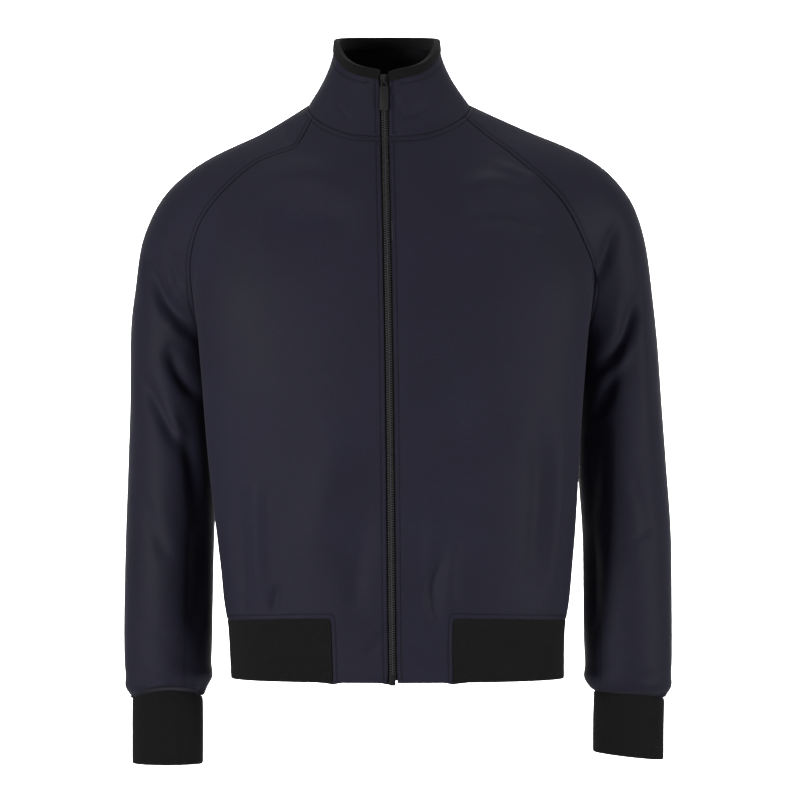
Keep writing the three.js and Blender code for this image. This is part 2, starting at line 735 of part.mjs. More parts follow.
function collarPoint(angle, height) {
  const round = Math.min(Math.abs(angle), 360 - Math.abs(angle));
  const foot = skin(angle, neckDrop(round)).point;
  const t = degrees(angle);
  const depth = Math.cos(t) > 0 ? COLLAR_TOP.depth : COLLAR_TOP.backDepth;
  const across = COLLAR_TOP.x + COLLAR_TOP.half * Math.sin(t);
  const along = COLLAR_TOP.y - depth * Math.cos(t);
  const top = new THREE.Vector3(across, along, collarRise(round));
  const share = 1 - (1 - height) ** COLLAR_FLARE;
  const point = foot.clone().lerp(top, share);
  point.z = lerp(foot.z + COLLAR_SEAM - SEAM_GAP / 2, top.z, height);
  return point;
}

function collarSkin(angle, height) {
  const step = 0.02;
  const point = collarPoint(angle, height);
  const up = collarPoint(angle, Math.min(height + step, 1));
  up.sub(collarPoint(angle, Math.max(height - step, 0)));
  const round = collarPoint(angle + 1, height).sub(collarPoint(angle - 1, height));
  return { point, up: up.normalize(), normal: round.cross(up).normalize() };
}

// The angle round the collar at which it lies a given distance to one side of the zip line
function collarAngle(distance, height) {
  let near = -40;
  let far = 40;
  const want = zipX(-collarPoint(0, height).z) + distance;
  for (let i = 0; i < 24; i += 1) {
    const half = (near + far) / 2;
    if (collarPoint(half, height).x < want) near = half;
    else far = half;
  }
  return near;
}

function collarGrid(opening, from, depth) {
  return Array.from({ length: COLLAR_STEPS + 1 }, (_, i) => {
    const height = lerp(1, from, i / COLLAR_STEPS);
    const start = collarAngle(opening, height);
    const end = 360 + collarAngle(-opening, height);
    return Array.from({ length: COLLAR_COLUMNS + 1 }, (_, j) => {
      const cell = collarSkin(lerp(start, end, j / COLLAR_COLUMNS), height);
      cell.point.addScaledVector(cell.normal, -depth);
      return cell;
    });
  });
}

// The binding: a folded strip whose section wraps the collar's top edge
const TRIM_OUTSIDE = 10.5;
const TRIM_INSIDE = 13;
function collarTrim() {
  const layers = COLLAR_CLOTH + LAYER_GAP + LINING;
  const near = LAYER_GAP;
  const far = -layers - LAYER_GAP;
  const section = [
    { out: near, up: -TRIM_OUTSIDE },
    { out: near, up: SEAM_GAP },
    { out: far, up: SEAM_GAP },
    { out: far, up: -TRIM_INSIDE / 2 },
    { out: far, up: -TRIM_INSIDE },
    { out: far - TRIM, up: -TRIM_INSIDE },
    { out: far - TRIM, up: -TRIM_INSIDE / 2 },
    { out: far - TRIM, up: TRIM * 0.6 },
    { out: far - TRIM * 0.3, up: TRIM + SEAM_GAP },
    { out: near + TRIM * 0.3, up: TRIM + SEAM_GAP },
    { out: near + TRIM, up: TRIM * 0.6 },
    { out: near + TRIM, up: -TRIM_OUTSIDE },
  ];
  const start = collarAngle(ZIP_OPENING, 1);
  const end = 360 + collarAngle(-ZIP_OPENING, 1);
  const rings = Array.from({ length: COLLAR_COLUMNS + 1 }, (_, j) => {
    const angle = lerp(start, end, j / COLLAR_COLUMNS);
    const length = collarPoint(angle, 1).distanceTo(collarPoint(angle, 0));
    return section.map((corner) => {
      const { point, up, normal } = collarSkin(angle, 1 + Math.min(corner.up, 0) / length);
      return point.addScaledVector(normal, corner.out).addScaledVector(up, Math.max(corner.up, 0));
    });
  });
  return sweep(rings);
}

// A solid through a row of like sections, closed by a flat cap at each end
function sweep(rings) {
  const size = rings[0].length;
  const points = rings.flat();
  const faces = [];
  for (let j = 0; j < rings.length - 1; j += 1) {
    for (let k = 0; k < size; k += 1) {
      const next = (k + 1) % size;
      const a = j * size + k;
      const b = j * size + next;
      faces.push(a, b, b + size, a, b + size, a + size);
    }
  }
  const flat = rings[0].map((point) => {
    const x = point.clone().sub(rings[0][0]).dot(rings[0][1].clone().sub(rings[0][0]).normalize());
    return { point, x };
  });
  const across = rings[0][1].clone().sub(rings[0][0]).normalize();
  const facing = rings[1][0].clone().sub(rings[0][0]).cross(across).normalize();
  const outline = flat.map(({ point, x }) => {
    return new THREE.Vector2(x, point.clone().sub(rings[0][0]).dot(facing));
  });
  const last = points.length - size;
  for (const [a, b, c] of THREE.ShapeUtils.triangulateShape(outline, [])) {
    const turned = THREE.ShapeUtils.area(outline) > 0;
    const [p, q] = turned ? [b, a] : [a, b];
    faces.push(p, q, c);
    faces.push(last + q, last + p, last + c);
  }
  return solid(points, faces);
}

// The knit band round the hem, from one front's tab round the back to the other
const BAND_COLUMNS = 40;
const BAND_ROWS = [0, 0.12, 0.5, 0.88, 1];
function hemBand() {
  const rows = BAND_ROWS.map((v) => {
    return evenly(BAND_COLUMNS).map((u) => {
      const angle = lerp(bandEnd("left"), 360 + bandEnd("right"), u);
      return skin(angle, lerp(hemSeam(angle) + SEAM_GAP / 2, HEM_EDGE, v));
    });
  });
  return wall(drawIn(rows, ["first", "last"]), KNIT);
}

// A point in front of the zip at a distance to one side of its line, on the collar or the body
function zipSkin(distance, drop) {
  const foot = neckDrop(0);
  if (drop >= foot) return skin(angleAtX(zipX(drop) + distance, drop, -1), drop);
  const height = (foot - drop) / (foot + collarRise(0));
  return collarSkin(collarAngle(distance, height), height);
}

const ZIP_TOP = -31;
const ZIP_FOOT = 630;
const ZIP_STEPS = 24;
const ZIP_BENDS = [34, 42, HEM_SEAM - 4, HEM_SEAM + 4, HEM_SEAM + 12]; // drops where its line turns
function zipStrip(distances, top, foot, depth, thickness) {
  const even = Array.from({ length: ZIP_STEPS + 1 }, (_, i) => lerp(top, foot, i / ZIP_STEPS));
  const drops = [...even, ...ZIP_BENDS].sort((a, b) => a - b);
  const grid = drops.map((drop) => {
    return distances.map((distance) => {
      const { point, normal } = zipSkin(distance, drop);
      return { point: point.addScaledVector(normal, -depth), normal };
    });
  });
  return wall(grid, thickness);
}

const TAPE = { near: 1.2, far: 12.5, thickness: 0.6, depth: CLOTH + 2 * SEAM_GAP };
function zipTape(side) {
  const sign = SIDES[side];
  const across = [TAPE.near, (TAPE.near + TAPE.far) / 2, TAPE.far].map((x) => sign * x);
  return zipStrip(across, ZIP_TOP, HEM_EDGE - 3, TAPE.depth, TAPE.thickness);
}

const CHAIN = { half: 3, depth: 0.3, thickness: 1.3 };
const SLIDER = { drop: -25.5, half: 4.2, foot: 3.3, up: 5.5, down: 5.5, out: 1.3, in: 1.4 };
const BAIL = { half: 1.2, out: 3.9, up: 4, down: 3.5, bar: 1.2 };
const HINGE = { down: 1.4, out: 2 };
const PULL = { bar: 0.5, near: 1.7, far: 2.9, window: 6.3, half: 4.9, length: 27, thickness: 2, lift: 0.5 };

function manifoldOf(geometry) {
  const plain = geometry.clone();
  plain.deleteAttribute("normal");
  plain.deleteAttribute("uv");
  const merged = mergeVertices(plain, 1e-4);
  const vertProperties = new Float32Array(merged.attributes.position.array);
  const triVerts = new Uint32Array(merged.index.array);
  return new wasm.Manifold(new wasm.Mesh({ numProp: 3, vertProperties, triVerts }));
}

function joined(geometries) {
  const whole = geometries.map(manifoldOf).reduce((a, b) => a.add(b));
  const { vertProperties, triVerts } = whole.getMesh();
  const geometry = new THREE.BufferGeometry();
  geometry.setAttribute("position", new THREE.BufferAttribute(vertProperties, 3));
  geometry.setIndex(new THREE.BufferAttribute(triVerts, 1));
  geometry.computeVertexNormals();
  return geometry;
}

// Small zip parts are drawn in their own frame: x across, z up along the zip, -y out of the cloth
function outlined(corners, depth) {
  const shape = new THREE.Shape(corners.map(([x, y]) => new THREE.Vector2(x, y)));
  return new THREE.ExtrudeGeometry(shape, { depth, bevelEnabled: false });
}

function sliderGeometry() {
  const { half, foot, up, down, out } = SLIDER;
  const plate = outlined(
    [
      [-foot, -down],
      [foot, -down],
      [half, up - 3],
      [half, up - 1],
      [half - 1, up],
      [1 - half, up],
      [-half, up - 1],
      [-half, up - 3],
    ],
    out + SLIDER.in,
  );
  plate.rotateX(Math.PI / 2).translate(0, SLIDER.in, 0);
  const arch = outlined(
    [
      [-BAIL.down, 1],
      [-BAIL.down, BAIL.out - 0.8],
      [0.8 - BAIL.down, BAIL.out],
      [BAIL.up - 0.8, BAIL.out],
      [BAIL.up, BAIL.out - 0.8],
      [BAIL.up, 1],
      [BAIL.up - BAIL.bar, 1],
      [BAIL.up - BAIL.bar, BAIL.out - BAIL.bar],
      [BAIL.bar - BAIL.down, BAIL.out - BAIL.bar],
      [BAIL.bar - BAIL.down, 1],
    ],
    2 * BAIL.half,
  );
  arch.translate(0, 0, -BAIL.half);
  const upright = new THREE.Matrix4().set(0, 0, 1, 0, 0, -1, 0, 0, 1, 0, 0, 0, 0, 0, 0, 1);
  arch.applyMatrix4(upright);
  return joined([plate, arch]);
}

function pullGeometry() {
  const { bar, near, far, window, half, length, thickness, lift } = PULL;
  const pin = new THREE.CylinderGeometry(bar, bar, 2 * far, 12).rotateZ(Math.PI / 2);
  const armShape = (x) =>
    outlined(
      [
        [x, -window - 1],
        [x + far - near, -window - 1],
        [x + far - near, bar],
        [x, bar],
      ],
      2 * bar,
    ).rotateX(Math.PI / 2);
  const corner = 1.6;
  const tab = outlined(
    [
      [-half + 1, -window],
      [-half, -window - corner],
      [-half, -window - length + corner],
      [-half + corner, -window - length],
      [half - corner, -window - length],
      [half, -window - length + corner],
      [half, -window - corner],
      [half - 1, -window],
    ],
    thickness,
  ).rotateX(Math.PI / 2);
  const forks = [armShape(near), armShape(-far)].map((arm) => arm.translate(0, bar, 0));
  tab.translate(0, thickness / 2 - lift, 0);
  return joined([pin, ...forks, tab]);
}

const ZIP_BOX = { half: 3.6, top: 631, foot: 642.5, out: 1, in: 1.7 };
function zipBox() {
  const { half, top, foot, out } = ZIP_BOX;
  const high = (foot - top) / 2;
  const box = outlined(
    [
      [-half, -high + 1],
      [1 - half, -high],
      [half - 1, -high],
      [half, -high + 1],
      [half, high],
      [-half, high],
    ],
    out + ZIP_BOX.in,
  );
  return box.rotateX(Math.PI / 2).translate(0, ZIP_BOX.in, 0);
}

const NAVY = { color: 0x2c2c3a, roughness: 0.62, metalness: 0 };
const BLACK_KNIT = { color: 0x19191c, roughness: 0.9, metalness: 0 };
const TAPE_CLOTH = { color: 0x1c1c1f, roughness: 0.8, metalness: 0 };
const MOULDED = { color: 0x222225, roughness: 0.45, metalness: 0 };
const DARK_METAL = { color: 0x2a2a2d, roughness: 0.4, metalness: 0.8 };

const jacket = new THREE.Group();
function add(name, geometry, look) {
  const mesh = new THREE.Mesh(geometry, new THREE.MeshStandardMaterial(look));
  mesh.name = name;
  jacket.add(mesh);
  return mesh;
}

const back = drawIn(creased(backPanel()), ["first", "last", "top", "bottom"]);
add("back", wall(back, CLOTH), NAVY);
for (const side of ["right", "left"]) {
  add("front_" + side, wall(frontPanel(side), CLOTH), NAVY);
  const sleeve = creased(sleeveGrid(side));
  const joinedFrom = RAGLAN_STEPS;
  drawIn(sleeve.slice(0, joinedFrom + 1), ["first", "last", "top"]);
  add("sleeve_" + side, wall(sleeve, CLOTH, joinedFrom), NAVY);
  add("cuff_" + side, wall(cuffGrid(side), KNIT, 0), BLACK_KNIT);
  add("zip_tape_" + side, zipTape(side), TAPE_CLOTH);
}
add("hem_band", hemBand(), BLACK_KNIT);

const insideTop = 0.02;
add("collar", wall(collarGrid(ZIP_OPENING, 0, 0), COLLAR_CLOTH), NAVY);
const liningDepth = COLLAR_CLOTH + LAYER_GAP;
const liningGrid = collarGrid(TAPE.far + 1.5, insideTop, liningDepth);
add("collar_lining", wall(liningGrid, LINING), BLACK_KNIT);
add("collar_trim", collarTrim(), BLACK_KNIT);

const chainTop = SLIDER.drop + SLIDER.down + 3 * SEAM_GAP;
const chainAcross = [-CHAIN.half, CHAIN.half];
const chain = zipStrip(chainAcross, chainTop, ZIP_FOOT, CHAIN.depth, CHAIN.thickness);
add("zip_chain", chain, MOULDED);
const tilt = (drop) => {
  const { normal } = zipSkin(0, drop);
  return Math.atan2(-normal.z, -normal.y);
};
const slider = new THREE.Group();
slider.position.copy(zipSkin(0, SLIDER.drop).point);
slider.rotation.x = tilt(SLIDER.drop);
jacket.add(slider);
slider.add(add("zip_slider", sliderGeometry(), DARK_METAL));
const pull = add("zip_pull", pullGeometry(), MOULDED);
pull.position.set(0, -HINGE.out, -HINGE.down);
slider.add(pull);
const box = add("zip_box", zipBox(), MOULDED);
box.position.copy(zipSkin(0, (ZIP_BOX.top + ZIP_BOX.foot) / 2).point);
box.rotation.x = tilt(HEM_EDGE);

export default jacket;
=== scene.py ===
import math

import bmesh
import bpy
import numpy as np
from mathutils import Matrix, Vector
from mathutils.bvhtree import BVHTree
from mathutils.kdtree import KDTree


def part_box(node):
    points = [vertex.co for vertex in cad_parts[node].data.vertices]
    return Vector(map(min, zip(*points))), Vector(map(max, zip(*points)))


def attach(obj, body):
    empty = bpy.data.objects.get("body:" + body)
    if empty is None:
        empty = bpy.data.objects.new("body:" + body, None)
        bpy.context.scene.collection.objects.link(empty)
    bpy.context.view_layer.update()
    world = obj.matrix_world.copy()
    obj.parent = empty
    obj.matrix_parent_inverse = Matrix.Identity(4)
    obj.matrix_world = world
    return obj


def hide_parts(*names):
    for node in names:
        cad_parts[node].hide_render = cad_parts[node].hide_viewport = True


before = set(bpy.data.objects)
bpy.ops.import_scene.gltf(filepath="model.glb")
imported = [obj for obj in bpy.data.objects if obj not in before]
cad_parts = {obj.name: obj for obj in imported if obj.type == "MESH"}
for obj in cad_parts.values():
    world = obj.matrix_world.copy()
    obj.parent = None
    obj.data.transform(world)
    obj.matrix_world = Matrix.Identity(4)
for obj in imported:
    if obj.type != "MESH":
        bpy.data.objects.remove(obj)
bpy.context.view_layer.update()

# Jersey panels
# A track jacket's panels are cut from smooth navy double jersey, about 1.6 mm thick, and joined by
# narrow seams that pull the cloth in a little on both sides. The back comes first, then the fronts.

MM = 0.001
JERSEY = 1.6 * MM

# where a wall's faces meet at a rim, and which of its triangles make a four-sided face
MERGE = 0.02 * MM
RIM_ANGLE = math.radians(50)
QUAD_ANGLE = math.radians(60)
QUAD_SHAPE = math.radians(100)
CORNER_ANGLE = math.radians(42)
INNER_LEVELS = 2

# a border rolls over and dips by a share of the thickness, then lies under its neighbour or is
# turned under
SEAM_ROLL = 1.5 * MM
EDGE_DIP = 0.35
SEAM_REACH = 1.5 * MM
ALLOWANCE = 3 * MM
TURNED = 1 * MM

# Soft troughs as seen from the front or back, in mm: four points (x, drop), half width and depth.
# A negative depth is a ridge, and one marked round runs all round the arm.
CREASES = {
    "front": [
        # wearer's right sleeve
        dict(points=[(-282, 158), (-270, 192), (-252, 226), (-218, 260)], width=9, depth=7.5),
        dict(points=[(-262, 170), (-250, 200), (-234, 222), (-216, 236)], width=7, depth=-2.4),
        dict(points=[(-262, 218), (-248, 246), (-232, 264), (-214, 278)], width=8, depth=-2.6),
        dict(points=[(-259, 150), (-250, 170), (-244, 188), (-238, 206)], width=5, depth=1.4),
        dict(points=[(-258, 262), (-246, 290), (-230, 314), (-208, 330)], width=8, depth=7.0),
        dict(points=[(-290, 290), (-272, 326), (-253, 360), (-236, 396)], width=8, depth=6.0),
        dict(points=[(-262, 330), (-248, 352), (-236, 366), (-222, 376)], width=7, depth=-2.2),
        dict(points=[(-240, 336), (-232, 376), (-224, 420), (-220, 480)], width=9, depth=5.5),
        dict(points=[(-218, 420), (-218, 500), (-220, 560), (-222, 612)], width=13, depth=7.0),
        dict(points=[(-294, 424), (-278, 452), (-262, 490), (-248, 516)], width=9, depth=2.6),
        dict(points=[(-298, 556), (-280, 580), (-262, 590), (-240, 588)], width=7, depth=1.4),
        dict(points=[(-297, 634), (-276, 646), (-256, 642), (-230, 648)], width=5, depth=1.8),
        dict(points=[(-292, 620), (-270, 631), (-248, 627), (-226, 633)], width=5, depth=-1.3),
        # wearer's left sleeve
        dict(points=[(254, 118), (243, 152), (230, 186), (218, 218)], width=7, depth=5.5),
        dict(points=[(276, 198), (266, 240), (250, 272), (222, 298)], width=8, depth=8.0),
        dict(points=[(272, 250), (256, 286), (240, 300), (224, 312)], width=6, depth=-2.8),
        dict(points=[(252, 292), (240, 320), (230, 340), (216, 356)], width=7, depth=5.5),
        dict(points=[(232, 340), (226, 380), (221, 430), (220, 490)], width=11, depth=6.0),
        dict(points=[(219, 440), (220, 510), (221, 560), (224, 612)], width=13, depth=7.0),
        dict(points=[(278, 190), (280, 250), (281, 320), (286, 400)], width=9, depth=-2.0),
        dict(points=[(262, 388), (274, 430), (282, 470), (286, 524)], width=9, depth=1.8),
        dict(points=[(294, 466), (284, 476), (274, 482), (260, 487)], width=5, depth=1.8),
        dict(points=[(244, 560), (262, 574), (282, 580), (300, 570)], width=7, depth=1.4),
        dict(points=[(236, 634), (256, 644), (276, 640), (304, 648)], width=5, depth=1.8),
        dict(points=[(238, 620), (258, 629), (280, 625), (304, 633)], width=5, depth=-1.3),
        # right front
        dict(points=[(-154, 390), (-152, 450), (-150, 510), (-149, 570)], width=9, depth=-5.3),
        dict(points=[(-174, 414), (-170, 470), (-167, 520), (-160, 570)], width=9, depth=4.6),
        dict(points=[(-126, 526), (-130, 543), (-132, 556), (-131, 570)], width=6, depth=3.8),
        dict(points=[(-166, 536), (-167, 548), (-167, 556), (-166, 568)], width=4, depth=2.8),
        dict(points=[(-121, 12), (-119, 24), (-118, 36), (-117, 50)], width=8, depth=1.8),
        dict(points=[(-170, 104), (-130, 84), (-90, 80), (-46, 92)], width=16, depth=-4.2),
        dict(points=[(-152, 150), (-112, 130), (-72, 128), (-28, 136)], width=24, depth=7.6),
        dict(points=[(-56, 330), (-70, 400), (-84, 470), (-80, 546)], width=24, depth=-4.9),
        dict(points=[(-22, 430), (-34, 480), (-42, 530), (-40, 578)], width=13, depth=3.4),
        # left front
        dict(points=[(58, 488), (44, 526), (43, 554), (52, 584)], width=7, depth=5.7),
        dict(points=[(76, 464), (64, 504), (61, 538), (66, 570)], width=9, depth=-4.2),
        dict(points=[(30, 430), (26, 480), (27, 520), (24, 566)], width=11, depth=3.2),
        dict(points=[(160, 320), (162, 400), (158, 480), (150, 572)], width=12, depth=4.9),
        dict(points=[(186, 334), (182, 420), (178, 490), (170, 566)], width=10, depth=-4.6),
        dict(points=[(64, 98), (106, 88), (142, 94), (172, 112)], width=12, depth=-5.3),
        dict(points=[(60, 130), (108, 122), (150, 127), (190, 142)], width=13, depth=6.5),
        dict(points=[(100, 62), (130, 74), (150, 83), (170, 95)], width=7, depth=-3.8),
        dict(points=[(30, 404), (64, 382), (104, 370), (156, 374)], width=22, depth=3.4),
        # cloth bloused over the cuffs
        dict(points=[(-320, 654), (-290, 650), (-250, 642), (-210, 640)], width=9, depth=-3.4, round=True),
        dict(points=[(205, 640), (250, 644), (290, 648), (330, 654)], width=9, depth=-3.4, round=True),
        # collar
        dict(points=[(-65, -2), (-60, 7), (-54, 14), (-46, 22)], width=3.6, depth=2.0),
        dict(points=[(-1, -14), (1, -6), (6, 6), (14, 12)], width=5, depth=2.0),
        dict(points=[(4, 6), (14, 14), (30, 10), (46, -4)], width=4.5, depth=2.6),
        dict(points=[(8, -8), (18, -2), (30, -6), (44, -18)], width=6, depth=-1.4),
        # hem
        dict(points=[(-4, 572), (-12, 588), (-24, 602), (-38, 614)], width=5, depth=1.5),
        dict(points=[(16, 594), (26, 606), (38, 616), (54, 623)], width=6, depth=1.2),
    ],
    "back": [
        dict(points=[(-288, 186), (-272, 216), (-250, 246), (-224, 264)], width=8, depth=5.0),
        dict(points=[(-290, 292), (-272, 322), (-252, 342), (-230, 354)], width=8, depth=4.0),
        dict(points=[(-286, 396), (-268, 424), (-252, 448), (-234, 472)], width=8, depth=3.0),
        dict(points=[(-296, 630), (-270, 642), (-250, 638), (-230, 646)], width=5, depth=1.8),
        dict(points=[(286, 194), (270, 222), (248, 250), (222, 270)], width=8, depth=5.0),
        dict(points=[(296, 284), (280, 310), (258, 330), (236, 346)], width=8, depth=4.0),
        dict(points=[(294, 404), (278, 430), (262, 456), (244, 482)], width=8, depth=3.0),
        dict(points=[(240, 632), (262, 642), (284, 638), (304, 646)], width=5, depth=1.8),
        dict(points=[(-150, 240), (-132, 330), (-124, 430), (-122, 540)], width=15, depth=3.6),
        dict(points=[(-96, 330), (-88, 400), (-90, 470), (-84, 560)], width=13, depth=-2.8),
        dict(points=[(140, 226), (126, 320), (118, 430), (112, 550)], width=15, depth=3.8),
        dict(points=[(82, 300), (76, 390), (80, 470), (70, 560)], width=13, depth=-2.6),
        dict(points=[(-10, 420), (-16, 470), (-8, 520), (-14, 566)], width=11, depth=2.2),
        dict(points=[(-66, 36), (-24, 52), (26, 54), (72, 36)], width=9, depth=2.2),
        dict(points=[(-120, 128), (-60, 140), (40, 142), (118, 126)], width=24, depth=3.0),
        dict(points=[(-186, 500), (-168, 528), (-150, 548), (-140, 570)], width=8, depth=2.2),
        dict(points=[(184, 492), (166, 522), (152, 546), (146, 570)], width=8, depth=2.2),
    ],
}

# a crease reaches over this many of its widths, fades in over a share of its length at each end, and
# fades out where the cloth turns sideways
CREASE_STEPS = 24
CREASE_REACH = 3
RAMP = 0.35
SIDEWAYS = 0.08
FACING = 0.4


def curve_points(points, steps):
    """A smooth line through 2D points, as an array."""
    p = [Vector(q) for q in points]
    p = [p[0] * 2 - p[1]] + p + [p[-1] * 2 - p[-2]]
    line = []
    for a, b, c, d in zip(p, p[1:], p[2:], p[3:]):
        for i in range(steps):
            t = i / steps
            bend = (2 * a - 5 * b + 4 * c - d) * t * t + (3 * b - a - 3 * c + d) * t ** 3
            line.append((2 * b + (c - a) * t + bend) / 2)
    return np.array([*line, p[-2]])


def crease_depths(co, normals):
    """How far the creases press the cloth in at each point, in metres."""
    total = np.zeros(len(co))
    flat = np.stack([co[:, 0], -co[:, 2]], axis=1) / MM
    facing = np.clip((np.abs(normals[:, 1]) - SIDEWAYS) / FACING, 0, 1)
    for face, rows in CREASES.items():
        near_face = (normals[:, 1] < 0) == (face == "front")
        for row in rows:
            line = curve_points(row["points"], CREASE_STEPS)
            reach = CREASE_REACH * row["width"]
            low, high = line.min(0) - reach, line.max(0) + reach
            all_round = "round" in row
            hit = np.flatnonzero((near_face | all_round) & np.all((flat > low) & (flat < high), axis=1))
            if not len(hit):
                continue
            gaps = np.linalg.norm(flat[hit, None] - line[None], axis=2)
            along = gaps.argmin(1) / (len(line) - 1)
            ramp = np.minimum(1, np.minimum(along, 1 - along) / RAMP)
            fade = 1 if all_round else ramp ** 2 * (3 - 2 * ramp) * facing[hit]
            total[hit] += row["depth"] * fade * np.exp(-((gaps.min(1) / row["width"]) ** 2))
    return total * MM


def islands_of(bm):
    """The groups of faces that hang together."""
    seen = set()
    groups = []
    for start in bm.faces:
        if start in seen:
            continue
        seen.add(start)
        group = [start]
        for face in group:
            for edge in face.edges:
                fresh = [f for f in edge.link_faces if f not in seen]
                seen.update(fresh)
                group += fresh
        groups.append(group)
    return groups


def merged_copy(node):
    """A new bmesh of a CAD node with its corners joined."""
    bm = bmesh.new()
    bm.from_mesh(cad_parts[node].data)
    bmesh.ops.remove_doubles(bm, verts=bm.verts, dist=MERGE)
    bmesh.ops.recalc_face_normals(bm, faces=bm.faces)
    return bm


def pair_triangles(bm):
    """Joins the triangles of a mesh two by two."""
    bmesh.ops.join_triangles(
        bm,
        faces=bm.faces,
        angle_face_threshold=QUAD_ANGLE,
        angle_shape_threshold=QUAD_SHAPE,
    )


# the middle of an arm and of the body, and the height above which each is taken as closed
ARM_LINE = (252 * MM, 50 * MM, -150 * MM)
BODY_LINE = (0, -20 * MM, -110 * MM)


def outer_sheet(node):
    """The outer face of a CAD wall as a new bmesh: of its two large faces, the one that looks away from
    the middle of the body or arm."""
    bm = merged_copy(node)
    rims = [e for e in bm.edges if len(e.link_faces) == 2 and e.calc_face_angle(0) > RIM_ANGLE]
    bmesh.ops.split_edges(bm, edges=rims)
    groups = sorted(islands_of(bm), key=lambda faces: -sum(f.calc_area() for f in faces))[:2]
    on_arm = node.startswith(("sleeve", "cuff"))
    x, y, top = ARM_LINE if on_arm else BODY_LINE
    x *= -1 if node.endswith("right") and on_arm else 1
    ceiling = math.inf if node in ("collar", "hem_band") else top

    def outwardness(faces):
        total = 0
        for face in faces:
            middle = face.calc_center_median()
            total += face.calc_area() * face.normal.dot(middle - Vector((x, y, min(middle.z, ceiling))))
        return total

    keep = set(max(groups, key=outwardness))
    bmesh.ops.delete(bm, geom=[f for f in bm.faces if f not in keep], context="FACES")
    pair_triangles(bm)
    return bm


def new_piece(name, bm):
    """An object with the shape of a bmesh, which is freed."""
    mesh = bpy.data.meshes.new(name)
    bm.to_mesh(mesh)
    bm.free()
    piece = bpy.data.objects.new(name, mesh)
    bpy.context.scene.collection.objects.link(piece)
    mesh.polygons.foreach_set("use_smooth", [True] * len(mesh.polygons))
    return piece


def smooth(piece, levels):
    """Rounds a piece's shape, and keeps the rounded one."""
    rounding = piece.modifiers.new("smooth", "SUBSURF")
    rounding.levels = levels
    rounding.render_levels = levels
    bpy.context.view_layer.update()
    graph = bpy.context.evaluated_depsgraph_get()
    mesh = bpy.data.meshes.new_from_object(piece.evaluated_get(graph))
    old = piece.data
    piece.modifiers.clear()
    piece.data = mesh
    bpy.data.meshes.remove(old)
    mesh.name = piece.name


def vertex_values(mesh, name):
    """A vector of each vertex of a mesh, as an array."""
    found = np.empty(len(mesh.vertices) * 3, np.float32)
    mesh.vertices.foreach_get(name, found)
    return found.reshape(-1, 3).astype(float)


def crease(piece):
    """Presses the creases into a piece."""
    mesh = piece.data
    co = vertex_values(mesh, "co")
    normals = vertex_values(mesh, "normal")
    co -= normals * crease_depths(co, normals)[:, None]
    mesh.vertices.foreach_set("co", co.ravel())
    mesh.update()


def hold_corners(bm):
    """Keeps the corners of a sheet's border sharp when it is smoothed."""
    held = bm.verts.layers.float.new("crease_vert")
    for vert in bm.verts:
        if vert.is_boundary:
            a, b = (e.other_vert(vert).co - vert.co for e in vert.link_edges if e.is_boundary)
            if a.angle(-b) > CORNER_ANGLE:
                vert[held] = 1


def extrude_border(bm, step):
    """Extrudes the whole border of a sheet; step gives the way each new point moves."""
    edges = [e for e in bm.edges if e.is_boundary]
    made = bmesh.ops.extrude_edge_only(bm, edges=edges)["geom"]
    for vert in made:
        if isinstance(vert, bmesh.types.BMVert):
            vert.co += step(vert)


def turn_edges_in(bm, thickness, node, allowance):
    """Rolls a sheet's border over and down through its thickness. At a seam the allowance then lies
    open under the next piece; a free edge is turned under."""
    held = bm.verts.layers.float["crease_vert"]
    down = bm.verts.layers.float_vector.new("down")
    out = bm.verts.layers.float_vector.new("out")
    bmesh.ops.inset_region(
        bm, faces=bm.faces, thickness=SEAM_ROLL, use_boundary=True, use_even_offset=True
    )
    bm.normal_update()
    others = [tree_of(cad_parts[n]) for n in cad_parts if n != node]
    border = [v for v in bm.verts if v.is_boundary]
    for vert in bm.verts:
        if not vert.is_boundary:
            vert[held] = 0
    for vert in border:
        inner = next(e.other_vert(vert) for e in vert.link_edges if not e.is_boundary)
        seamed = any(tree.find_nearest(vert.co, SEAM_REACH)[0] for tree in others)
        vert[down] = -vert.normal * thickness
        vert[out] = (vert.co - inner.co).normalized() * (allowance if seamed else -TURNED)
    for vert in border:
        vert.co += vert[down] * EDGE_DIP
    extrude_border(bm, lambda vert: vert[down])
    extrude_border(bm, lambda vert: vert[out])
    bm.verts.layers.float_vector.remove(bm.verts.layers.float_vector["down"])
    bm.verts.layers.float_vector.remove(bm.verts.layers.float_vector["out"])
    bmesh.ops.recalc_face_normals(bm, faces=bm.faces)


inner_faces = {}


def cloth_piece(node, name, thickness, levels=3, allowance=ALLOWANCE):
    """The smooth outer face of a cut piece with its creases, and its edges turned in at the seams.
    Its inner face is kept beside it until the piece is finished."""
    bm = outer_sheet(node)
    hold_corners(bm)
    inner = new_piece(name + "_inner", bm.copy())
    turn_edges_in(bm, thickness, node, allowance)
    piece = new_piece(name, bm)
    smooth(piece, levels)
    crease(piece)
    smooth(inner, INNER_LEVELS)
    crease(inner)
    inner_faces[piece] = (inner, thickness)
    return piece


def border_loops(bm):
    """The closed loops of border edges."""
    left = dict.fromkeys(e for e in bm.edges if e.is_boundary)
    loops = []
    while left:
        loop = [left.popitem()[0]]
        for edge in loop:
            for vert in edge.verts:
                for fresh in [e for e in vert.link_edges if e in left]:
                    del left[fresh]
                    loop.append(fresh)
        loops.append(loop)
    return loops


def middle_of(loop):
    """The mean place of a loop of edges."""
    return sum((v.co for e in loop for v in e.verts), Vector()) / len(loop) / 2


